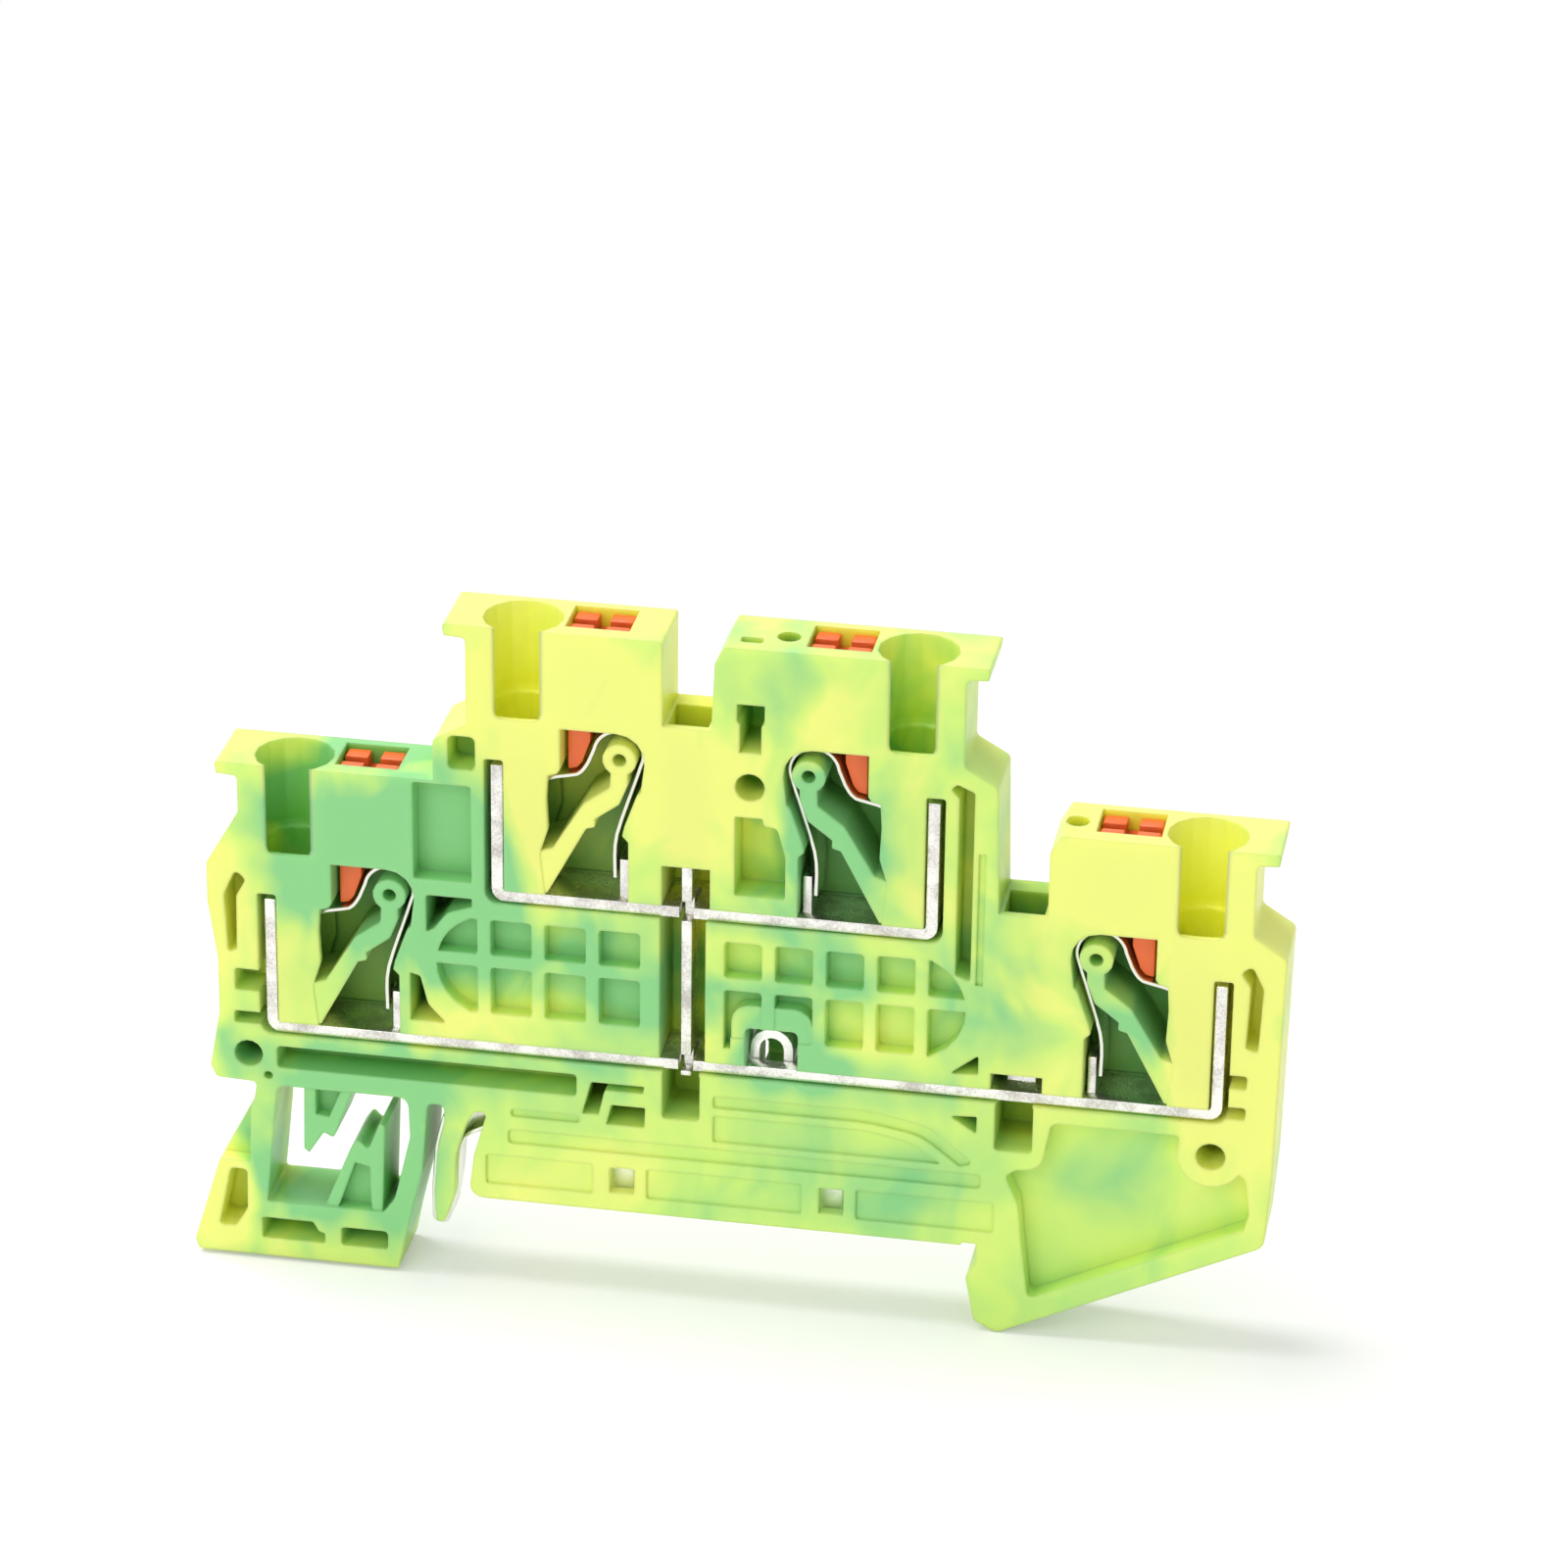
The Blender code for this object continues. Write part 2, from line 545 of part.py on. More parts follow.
def middle_pockets():
    """Pockets between the clamps, as rings with their depth."""
    left_x = UPPER_LEFT_X - LEG_REACH - BAR_THICK / 2
    right_x = UPPER_RIGHT_X + LEG_REACH + BAR_THICK / 2
    low = UPPER_BAR_Z
    boss_z = UPPER_RIGHT.z
    lower_z = LOWER_LEFT.z
    key_x = UPPER_RIGHT_X - 3.75
    side_x = LOWER_LEFT_X - FLANK_REACH
    far_x = LOWER_RIGHT_X + FLANK_REACH - 0.3
    deep = FLOOR
    shallow = FRONT + RECESS_DEPTH
    keyhole = [
        (key_x - 0.9, boss_z + 4.65), (key_x + 0.9, boss_z + 4.65), (key_x + 0.9, boss_z + 3.5, 0.1),
        (key_x + 0.7, boss_z + 3.2, 0.1), (key_x + 0.7, boss_z + 1.3), (key_x - 0.7, boss_z + 1.3),
        (key_x - 0.7, boss_z + 3.2, 0.1), (key_x - 0.9, boss_z + 3.5, 0.1),
    ]
    window = [
        (key_x - 0.95, UPPER_TOP + 1.3, 0.2), (key_x + 2.35, UPPER_TOP + 1.3, 0.2),
        (key_x + 2.35, UPPER_TOP + 4.3, 0.3), (key_x + 1.8, UPPER_TOP + 6.3, 0.4),
        (key_x + 0.9, UPPER_TOP + 6.4, 0.4), (key_x + 0.85, UPPER_TOP + 6.9, 0.1),
        (key_x - 0.95, UPPER_TOP + 6.9, 0.1),
    ]
    left_tear = [
        (side_x + 1.3, lower_z - 5.2, 0.2), (side_x + 1.9, lower_z - 4.9, 0.2),
        (side_x + 1.95, lower_z - 1, 0.4), (side_x + 2.6, lower_z + 0.2, 0.3),
        (side_x + 1.9, lower_z + 0.9, 0.4), (side_x + 1.1, lower_z - 1, 0.6),
    ]
    right_tear = [
        (far_x - 1.3, lower_z - 5.6, 0.2), (far_x - 2.1, lower_z - 5.3, 0.2),
        (far_x - 1.95, lower_z - 1, 0.4), (far_x - 2.6, lower_z, 0.3), (far_x - 1.9, lower_z + 0.6, 0.4),
        (far_x - 1.1, lower_z - 1, 0.6),
    ]
    right_slot = [
        (right_x + 1.25, low - 2.2, 0.2), (right_x + 2.25, low - 2.6, 0.2),
        (right_x + 2.25, boss_z - 0.1, 0.2), (right_x + 1.1, boss_z + 0.4, 0.2),
        (right_x + 0.7, boss_z, 0.2), (right_x + 1.25, boss_z - 0.6, 0.2),
    ]
    under_ledge = [
        (left_x - 4.3, low + 0.1, 0.2), (left_x - 4.3, low - 2.6, 0.1), (left_x - 3.8, low - 2.3, 0.1),
        (left_x - 2.9, low - 1.1, 1), (left_x - 1.25, low - 0.5, 0.1), (left_x - 1.25, low + 0.1, 0.1),
    ]
    return [
        (keyhole, deep), (window, shallow), (left_tear, shallow), (right_tear, shallow),
        (right_slot, shallow), (circle((key_x, boss_z - 1.1), 0.97), deep),
        (box_ring(left_x - 5.1, left_x - 1.25, low + 1.2, low + 8.1, 0.2), FRONT + WEB_DEPTH),
        (under_ledge, deep),
        (box_ring(left_x - 2.75, left_x - 0.95, low + 9.2, low + 11.6, 0.4), shallow),
        (box_ring(right_x + 2.6, right_x + 3.05, low - 2.8, low + 6.5), FRONT + RELIEF_DEPTH),
        ([(LOWER_LEFT_X + 1.3, LOWER_TOP + 1.2, 0.1), (LOWER_LEFT_X + 3.7, LOWER_TOP + 1.2, 0.1),
          (LOWER_LEFT_X + 2.5, LOWER_TOP + 2.5, 0.8), (LOWER_LEFT_X + 2.0, LOWER_TOP + 4.5, 0.2),
          (LOWER_LEFT_X + 1.3, LOWER_TOP + 4.7, 0.1)], deep),
        (box_ring(side_x + 1.7, side_x + 3.5, LOWER_TOP + 2.2, LOWER_TOP + 3.8, 0.2), shallow),
        (box_ring(side_x + 1.6, side_x + 3.5, LOWER_TOP - 0.2, LOWER_TOP + 0.7, 0.2), shallow),
        (box_ring(far_x - 3.2, far_x - 1.9, LOWER_TOP + 1.8, LOWER_TOP + 2.8, 0.2), shallow),
        (box_ring(far_x - 3.2, far_x - 1.9, LOWER_TOP - 0.4, LOWER_TOP + 0.5, 0.2), shallow),
    ]


def foot_fins():
    """The two sprung fins in the foot, one hanging and one standing, that let it flex off the rail."""
    top = LOWER_BAR_Z - 3.5
    low = 3.8 - FOOT_DEPTH
    hanging = [
        (-EDGE - 9.75, top), (-EDGE - 9.85, 2.3, 0.2), (-EDGE - 9.5, 2.0, 0.1), (-EDGE - 8.5, 3.6, 0.1),
        (-EDGE - 7.8, 3.3, 0.2), (-EDGE - 6.35, top), (-EDGE - 7.1, top), (-EDGE - 8.1, 4.8, 0.1),
        (-EDGE - 9.0, 4.9, 0.1), (-EDGE - 9.0, top),
    ]
    standing = [
        (-EDGE - 8.6, low), (-EDGE - 6.7, 2.6, 0.3), (-EDGE - 6.2, 3.3, 0.2), (-EDGE - 5.5, 2.6, 0.2),
        (-EDGE - 4.7, 4.7, 0.1), (-EDGE - 4.35, 4.5, 0.2), (-EDGE - 4.6, low), (-EDGE - 5.3, low),
        (-EDGE - 5.4, 1.4, 0.1), (-EDGE - 6.4, 1.6, 0.1), (-EDGE - 7.7, low),
    ]
    return [(hanging, FRONT + 0.2, BACK - 0.4), (standing, FRONT + 0.2, BACK - 0.4)]


def fin_webs():
    """The thin webs between the two prongs of each fin."""
    top = LOWER_BAR_Z - 3.5
    low = 3.8 - FOOT_DEPTH
    hanging = [(-EDGE - 9.2, top), (-EDGE - 9.2, 4.6), (-EDGE - 7.9, 4.5), (-EDGE - 6.8, top)]
    standing = [(-EDGE - 8.0, low), (-EDGE - 6.6, 1.8), (-EDGE - 5.2, 1.6), (-EDGE - 5.0, low)]
    return [(hanging, FRONT + PANEL_DEPTH, BACK - 0.9), (standing, FRONT + PANEL_DEPTH, BACK - 0.9)]


def clip_line():
    """The centre line of the rail clip: folded round the finger, then run back into the foot."""
    run_z = STRAP_RUN_Z - STRAP_THICK / 2 - CLIP_THICK / 2 - CLEAR - 0.03
    return rounded([
        (-EDGE - 0.5, LOWER_BAR_Z - 5.55), (-EDGE - 1.05, 3.0, 1.5), (-EDGE - 1.25, 0.0, 2),
        (-EDGE - 1.25, -RAIL_LIP - 1.4, 0.35), (-EDGE - 0.4, -RAIL_LIP - 1.4, 0.3), (-EDGE + 0.05, 0.0, 1.5),
        (-EDGE + 0.25, 2.5, 1.5), (-EDGE + 0.9, 4.0, 1), (-EDGE + 2.4, run_z, 1),
        (-EDGE + 7.6, run_z),
    ], closed=False)


def strap_arch():
    """The outline of the earth strap's arch, with both legs down to its run."""
    half = ARCH_SPAN / 2
    top = LOWER_TOP + ARCH_HEIGHT - STRAP_THICK / 2 - half
    crown = arc((ARCH_X, top), half, 180, 0)
    return ribbon([(ARCH_X - half, STRAP_RUN_Z), *crown, (ARCH_X + half, STRAP_RUN_Z)], STRAP_THICK)


def back_pockets():
    """The hollow in the foot for the earth parts, open at the back, and the relief behind the finger."""
    top = STRAP_RUN_Z + STRAP_THICK / 2 + CLEAR
    hollow = [
        (-EDGE + 3.2, 0.8, 0.3), (EDGE - 4.8, 0.8, 0.3), (EDGE - 4.8, top, 0.3), (-EDGE + 2.9, top, 0.3),
        (-EDGE + 1.5, top - 0.5), (-EDGE + 1.5, 3.7), (-EDGE + 2.6, 4.2),
    ]
    behind_finger = [
        (-EDGE + 0.05, 3.9), (-EDGE - 0.1, 3.0), (-EDGE - 0.2, 0.0), (-EDGE - 0.55, -RAIL_LIP - 0.7),
        (-EDGE - 1.3, -RAIL_LIP - 0.8), (-EDGE - 1.3, -RAIL_LIP - 2.0), (-EDGE + 1.1, -RAIL_LIP - 2.0),
        (-EDGE + 1.3, 4.6), (-EDGE + 0.6, 4.6),
    ]
    face = FRONT + FOOT_FACE
    return [(hollow, face, BACK + OUT), (behind_finger, face, BACK + OUT)]


def strap_shaft():
    """The slot that the strap's arch stands in, open at the back, with a core inside the arch."""
    core = ARCH_SPAN / 2 - STRAP_THICK / 2 - CLEAR
    top = LOWER_TOP + ARCH_HEIGHT
    core_top = top - STRAP_THICK - CLEAR
    return [
        (ARCH_X - ARCH_SIDE, STRAP_RUN_Z), (ARCH_X - core, STRAP_RUN_Z), (ARCH_X - core, core_top, 0.6),
        (ARCH_X + core, core_top, 0.6), (ARCH_X + core, STRAP_RUN_Z), (ARCH_X + ARCH_SIDE, STRAP_RUN_Z),
        (ARCH_X + ARCH_SIDE, top + CLEAR, 0.5), (ARCH_X - ARCH_SIDE, top + CLEAR, 0.5),
    ]


def relief():
    """Shallow sunk fields on the face of the foot."""
    depth = FRONT + RELIEF_DEPTH
    z = LOWER_BAR_Z
    fields = [
        box_ring(-EDGE + 2.5, POST_XS[0] - 1.9, 1.1, 3.3, 0.2),
        box_ring(POST_XS[0] + 1.7, POST_XS[1] - 1.9, 1.1, 3.3, 0.2),
        box_ring(POST_XS[1] + 1.7, EDGE + 1.2, 1.1, 3.3, 0.2),
        box_ring(-EDGE + 4.0, EDGE + 0.3, z - 6.5, z - 5.45, 0.3),
        box_ring(-EDGE + 4.2, -EDGE + 8.8, z - 4.5, z - 3.9, 0.3),
        [(LINK_X + 1.9, z - 1.55, 0.2), (10.5, z - 1.55, 4), (14.4, z - 2.3, 3), (17.3, z - 4.7, 0.2),
         (16.4, z - 5.0, 0.2), (13.8, z - 3.0, 3), (10.3, z - 2.45, 4), (LINK_X + 1.9, z - 2.45, 0.2)],
        [(LINK_X + 1.9, z - 3.0, 0.2), (10.2, z - 3.0, 4), (13.2, z - 3.6, 2), (15.3, z - 4.95, 0.1),
         (LINK_X + 1.9, z - 4.95, 0.2)],
    ]
    return [(ring, FRONT - OUT, depth) for ring in fields]


def build_housing():
    """The moulded housing, cut from one slab."""
    housing = make_object("housing", [(outline(), FRONT, BACK)])
    ahead = FRONT - OUT
    low = LOWER_TOP + 2.1
    high = UPPER_BAR_Z - 1.3
    pockets = [(chamber(c), ahead, FLOOR) for c in CLAMPS]
    pockets += [(ring, ahead, depth) for ring, depth in deck_pockets() + middle_pockets()]
    pockets += panel_cells(LINK_X - 2.95, LOWER_LEFT_X + 3.1, 4, low + 0.1, high)
    pockets += panel_cells(LINK_X + 2.55, BRIDGE_X - 3.5, 5, low, high)
    cut(housing, "cut_pockets", pockets)

    bar_floor = BAR_BACK + CLEAR
    cut(housing, "cut_bar_channels", [
        (bar_channel(LOWER_LEFT, LOWER_RIGHT, LOWER_BAR_Z), ahead, bar_floor),
        (bar_channel(UPPER_LEFT, UPPER_RIGHT, UPPER_BAR_Z), ahead, bar_floor),
    ])
    half = VALLEY_WIDTH / 2
    cut(housing, "cut_link_channel", [
        (box_ring(LINK_X - half - 0.1, LINK_X + half - 0.25, LOWER_TOP, UPPER_BAR_Z), ahead, FLOOR),
        (box_ring(LINK_X - half, LINK_X + half, UPPER_TOP, UPPER_TOP + 2.95), ahead, FLOOR),
        (box_ring(BRIDGE_X - 1.8, BRIDGE_X + 1.55, LOWER_TOP, LOWER_TOP + 1.3), ahead, FLOOR),
    ])

    tops = []
    shafts = []
    wells = []
    well_radius = ENTRY_RADIUS - 0.3
    spread = math.degrees(math.asin((ENTRY_INSET - FACE_WALL) / well_radius))
    for clamp in CLAMPS:
        top = clamp.z + TOWER_RISE + OUT
        x, floor = clamp.at(ENTRY_REACH, ENTRY_RISE)
        profile = [
            (WIRE_RADIUS, floor - 2.6), (WIRE_RADIUS, floor), (well_radius, floor + 0.1),
            (ENTRY_RADIUS - 0.08, floor + 0.25), (ENTRY_RADIUS, floor + 0.6), (ENTRY_RADIUS, top),
        ]
        tops.append(("turned", (x, FRONT + ENTRY_INSET), profile))
        well = arc((x, FRONT + ENTRY_INSET), well_radius, -spread, 180 + spread)
        wells.append((well, clamp.z, floor + 0.3, "z"))
        x, _ = clamp.at(BUTTON_REACH, 0)
        side = BUTTON_LENGTH / 2 + CLEAR
        foot = clamp.z + HEAD_FOOT - BUTTON_TRAVEL - CLEAR
        head = box_ring(x - side, x + side, BUTTON_FRONT - CLEAR, BUTTON_BACK + CLEAR)
        tops.append((head, foot, top, "z"))
        leg_in = LOOP_SHIFT + LOOP_RADIUS + 0.1
        leg_out = BUTTON_REACH + side
        leg = clamp.ring([
            (leg_in, ARCH_TOP - 0.3), (leg_out, ARCH_TOP - 0.3), (leg_out, HEAD_FOOT - 1),
            (leg_in, HEAD_FOOT - 1),
        ])
        shafts.append((leg, BUTTON_FRONT - CLEAR, BUTTON_BACK + CLEAR))
        wire_out = LEG_REACH - BAR_THICK / 2 - 0.05
        wire = clamp.ring([
            (4.95, 0.1), (wire_out, 0.1), (wire_out, 1.3 - BOSS_RISE), (4.3, 1.3 - BOSS_RISE), (4.3, -1.6),
            (4.95, -1.1),
        ])
        shafts.append((wire, FRONT + FACE_WALL, FLOOR - 0.15))
    for clamp in (UPPER_RIGHT, LOWER_RIGHT):
        x, z = clamp.at(-1.75, TOWER_RISE)
        tops.append((circle((x, FRONT + 2.45), PROBE_RADIUS), z - PROBE_DEPTH, z + OUT, "z"))
    x, z = UPPER_RIGHT.at(-3.95, TOWER_RISE)
    tops.append((box_ring(x - 0.7, x + 0.7, FRONT + 1.1, FRONT + 1.9, 0.2), z - PROBE_DEPTH, z + OUT, "z"))
    slots = ((LINK_X, UPPER_TOP + 2.8, UPPER_LEFT), (BRIDGE_X, LOWER_TOP + 1.1, LOWER_RIGHT))
    for x, low, clamp in slots:
        ring = box_ring(x - half + 0.25, x + half - 0.25, low, clamp.z + VALLEY_RISE + OUT)
        shafts.append((ring, FRONT + FACE_WALL, FLOOR - 0.8))
    cut(housing, "cut_from_above", tops)
    cut(housing, "cut_shafts", shafts)
    cut(housing, "cut_back_pockets", back_pockets())

    arms = [(spring_arm(c), FRONT + 0.05, FLOOR + 0.2) for c in CLAMPS]
    hood = box_ring(ARCH_X - 2.4, ARCH_X + 2.9, LOWER_TOP + 0.4, LOWER_TOP + 4.5, 1.2)
    join(housing, "join_arms", arms + foot_fins() + [(hood, FRONT + 0.05, FRONT + PANEL_DEPTH + 0.2)])
    bosses = [(circle((c.x, c.z), BOSS_RADIUS), FRONT + 0.05, FLOOR + 0.3) for c in CLAMPS]
    join(housing, "join_bosses", bosses + fin_webs())
    bores = [(circle((c.x, c.z), BOSS_BORE), ahead, FLOOR - 0.5) for c in CLAMPS]
    for x in POST_XS:
        window = box_ring(x - POST_WIDTH / 2 - 0.1, x + POST_WIDTH / 2 + 0.25, 1.3, 3.2, 0.1)
        bores.append((window, ahead, FRONT + FOOT_FACE + 0.1))
    arch_pocket = box_ring(ARCH_X - ARCH_SIDE, ARCH_X + ARCH_SIDE + 0.45, LOWER_TOP, LOWER_TOP + 2.9, 0.4)
    bores.append((arch_pocket, ahead, ARCH_BACK))
    beside_hood = box_ring(LINK_X + 2.55, ARCH_X - 2.45, LOWER_TOP + 1.3, LOWER_TOP + 2.6)
    bores.append((beside_hood, ahead, FRONT + PANEL_DEPTH))
    cut(housing, "cut_bores", bores + wells + relief())
    cut(housing, "cut_strap_shaft", [(strap_shaft(), ARCH_FRONT - CLEAR, BACK + OUT)])
    return housing


def build_bar(name, left_clamp, right_clamp, bottom):
    """A flat bar with both ends bent up, a slot for the link and a lanced tab behind each spring."""
    strip = ribbon(bar_line(left_clamp, right_clamp, bottom), BAR_THICK)
    bar = make_object(name, [(strip, BAR_FRONT, BAR_BACK)])
    top = bottom + BAR_THICK
    middle = (BAR_FRONT + BAR_BACK) / 2
    tabs = []
    for clamp in (left_clamp, right_clamp):
        x = clamp.at(-0.13, 0)[0]
        ring = box_ring(x - TAB_THICK / 2, x + TAB_THICK / 2, bottom + BAR_THICK / 2, top + TAB_HEIGHT)
        tabs.append((ring, middle - TAB_WIDTH / 2, middle + TAB_WIDTH / 2))
    join(bar, name + "_tabs", tabs)
    side = LINK_THICK / 2 + CLEAR
    slot = box_ring(LINK_X - side, LINK_X + side, bottom - OUT, top + OUT)
    cuts = [(slot, BAR_FRONT - OUT, BAR_FRONT + LINK_WIDTH + CLEAR)]
    return bar, cuts


def build_link():
    """The upright plate that joins the two bars, necked where it passes through each."""
    front = BAR_FRONT + 0.1
    back = BAR_FRONT + LINK_WIDTH
    neck = back - LINK_NECK
    gap = 0.3
    ring = [
        (back, LOWER_BAR_Z - LINK_TIP), (back, UPPER_TOP + 2.9), (front, UPPER_TOP + 2.9),
        (front, UPPER_TOP + gap), (neck, UPPER_TOP + gap), (neck, UPPER_BAR_Z - gap),
        (front, UPPER_BAR_Z - gap), (front, LOWER_TOP + gap), (neck, LOWER_TOP + gap),
        (neck, LOWER_BAR_Z - 0.1), (front, LOWER_BAR_Z - 0.1), (front, LOWER_BAR_Z - LINK_TIP),
    ]
    return make_object("level_link", [(ring, LINK_X - LINK_THICK / 2, LINK_X + LINK_THICK / 2, "x")])


def build_strap():
    """The earth strap: a run in the foot, an arch up through the lower bar, and two posts."""
    left = -EDGE + 4.2
    right = EDGE - 5.1
    z0 = STRAP_RUN_Z - STRAP_THICK / 2
    z1 = STRAP_RUN_Z + STRAP_THICK / 2
    strap = make_object("earth_strap", [(box_ring(left, right, z0, z1), STRAP_FRONT, ARCH_BACK)])
    join(strap, "strap_arch", [(strap_arch(), ARCH_FRONT, ARCH_BACK - 0.02)])
    posts = []
    for x in POST_XS:
        ring = box_ring(x - POST_WIDTH / 2, x + POST_WIDTH / 2, POST_FOOT_Z, STRAP_RUN_Z)
        posts.append((ring, STRAP_FRONT, STRAP_FRONT + POST_THICK))
    join(strap, "strap_posts", posts)
    return strap


def place_origin(piece, point):
    """Moves a piece's origin to a point without moving the piece."""
    shift = Vector(point) * MM
    for vertex in piece.data.vertices:
        vertex.co -= shift
    piece.location = shift


def build_button(clamp):
    """A push button, with its origin on the middle of its head."""
    name = "push_button_" + clamp.name
    button = make_object(name, [(button_ring(clamp), BUTTON_FRONT, BUTTON_BACK)])
    x, z = clamp.at(BUTTON_REACH, HEAD_TOP)
    grooves = cut(button, name + "_grooves", [(button_cross(clamp), z - GROOVE_DEPTH, z + OUT, "z")])
    origin = (x, (BUTTON_FRONT + BUTTON_BACK) / 2, z)
    place_origin(button, origin)
    grooves.parent = button
    place_origin(grooves, origin)
    grooves.location = (0, 0, 0)
    return button


def finish(piece, surface):
    """Gives a piece its material, and shades its rounds smooth."""
    piece.data.materials.append(surface)
    piece.data.shade_smooth()
    piece.data.set_sharp_from_angle(angle=math.radians(30))


def build():
    """Makes every piece of the block."""
    for old in list(bpy.data.objects):
        bpy.data.objects.remove(old)
    plastic = material("moulded_plastic", (0.62, 0.85, 0.20), 0.35, 0.0)
    orange = material("orange_plastic", (0.75, 0.12, 0.03), 0.4, 0.0)
    tin = material("tinned_copper", (0.80, 0.80, 0.82), 0.28, 1.0)
    steel = material("spring_steel", (0.70, 0.70, 0.72), 0.25, 1.0)

    finish(build_housing(), plastic)
    lower, cuts = build_bar("lower_bar", LOWER_LEFT, LOWER_RIGHT, LOWER_BAR_Z)
    reach = LANCE_WIDTH / 2
    lance = box_ring(BRIDGE_X - reach, BRIDGE_X + reach, LOWER_BAR_Z + 0.3, LOWER_TOP + 1.0)
    join(lower, "lower_bar_lance", [(lance, BAR_FRONT + 1.5, BAR_FRONT + 2.1)])
    notch = box_ring(ARCH_X - ARCH_SIDE, ARCH_X + ARCH_SIDE, LOWER_BAR_Z - OUT, LOWER_TOP + OUT)
    cut(lower, "lower_bar_slots", cuts + [(notch, ARCH_FRONT - CLEAR, BAR_BACK + OUT)])
    finish(lower, tin)
    upper, cuts = build_bar("upper_bar", UPPER_LEFT, UPPER_RIGHT, UPPER_BAR_Z)
    cut(upper, "upper_bar_slots", cuts)
    finish(upper, tin)
    finish(build_link(), tin)
    finish(build_strap(), tin)
    strip = ribbon(clip_line(), CLIP_THICK)
    clip = make_object("rail_clip", [(strip, STRAP_FRONT, STRAP_FRONT + CLIP_WIDTH)])
    finish(clip, steel)
    spring_front = FRONT + SPRING_INSET
    spring_back = spring_front + SPRING_WIDTH
    for clamp in CLAMPS:
        ring = ribbon(spring_line(clamp), SPRING_THICK)
        finish(make_object("clamp_spring_" + clamp.name, [(ring, spring_front, spring_back)]), steel)
        finish(build_button(clamp), orange)


build()
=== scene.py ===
"""Looks of a double level terminal block: marbled plastic, tinned bars, bright springs, orange buttons."""

import math

import bmesh
import bpy
from mathutils import Matrix, Vector


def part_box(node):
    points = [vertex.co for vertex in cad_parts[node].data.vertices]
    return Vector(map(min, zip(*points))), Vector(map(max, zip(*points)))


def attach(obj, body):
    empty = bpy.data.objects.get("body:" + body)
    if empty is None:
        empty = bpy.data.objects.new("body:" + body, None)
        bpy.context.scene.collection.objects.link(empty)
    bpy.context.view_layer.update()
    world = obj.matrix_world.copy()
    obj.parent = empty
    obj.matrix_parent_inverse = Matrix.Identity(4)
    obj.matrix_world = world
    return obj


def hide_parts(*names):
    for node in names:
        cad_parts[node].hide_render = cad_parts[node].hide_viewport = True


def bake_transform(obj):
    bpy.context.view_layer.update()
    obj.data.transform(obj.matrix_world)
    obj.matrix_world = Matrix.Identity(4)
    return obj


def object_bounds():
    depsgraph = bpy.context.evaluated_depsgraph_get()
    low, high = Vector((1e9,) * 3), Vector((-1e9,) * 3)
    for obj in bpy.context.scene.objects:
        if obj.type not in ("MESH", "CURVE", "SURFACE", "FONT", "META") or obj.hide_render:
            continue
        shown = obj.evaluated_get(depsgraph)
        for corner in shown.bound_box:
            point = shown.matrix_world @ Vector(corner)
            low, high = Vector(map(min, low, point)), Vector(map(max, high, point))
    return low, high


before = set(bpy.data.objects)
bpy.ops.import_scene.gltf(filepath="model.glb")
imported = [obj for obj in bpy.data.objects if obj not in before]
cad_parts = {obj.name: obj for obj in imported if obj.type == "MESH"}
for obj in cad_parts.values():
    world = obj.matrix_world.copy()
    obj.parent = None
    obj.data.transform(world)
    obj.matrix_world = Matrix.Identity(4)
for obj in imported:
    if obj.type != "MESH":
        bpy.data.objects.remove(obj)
cad_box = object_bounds()
MM = 0.001


# The table, the lamps and the camera. The block stands on a white sweep in an even white room and is
# seen from a little above, through a long lens.
SENSOR = 36.0
LENS = 142.8
CAMERA_PLACE = Vector((65.57, -353.0, 199.87)) * MM
CAMERA_AZIMUTH = math.radians(9.88)
CAMERA_ELEVATION = math.radians(25.26)
CAMERA_ROLL = math.radians(0.78)
CLIP_START = 0.01
CLIP_END = 20
KEY_PLACE = (-0.25, 0.05, 0.85)
KEY_SIZE = 0.45
KEY_WATTS = 5.6
FILL_PLACE = (-0.25, -0.7, 0.55)
FILL_SIZE = 0.6
FILL_WATTS = 2.5
WHITE = (1, 1, 1, 1)
CARD_WHITE = (0.93, 0.93, 0.925, 1)
ROOM_LIGHT = 0.54
FLOOR_SIZE = 4.0
FLOOR_GAP = 0.05 * MM
FADE_START = 0.03
FADE_END = 0.16
LEAST_GLOW = 0.25


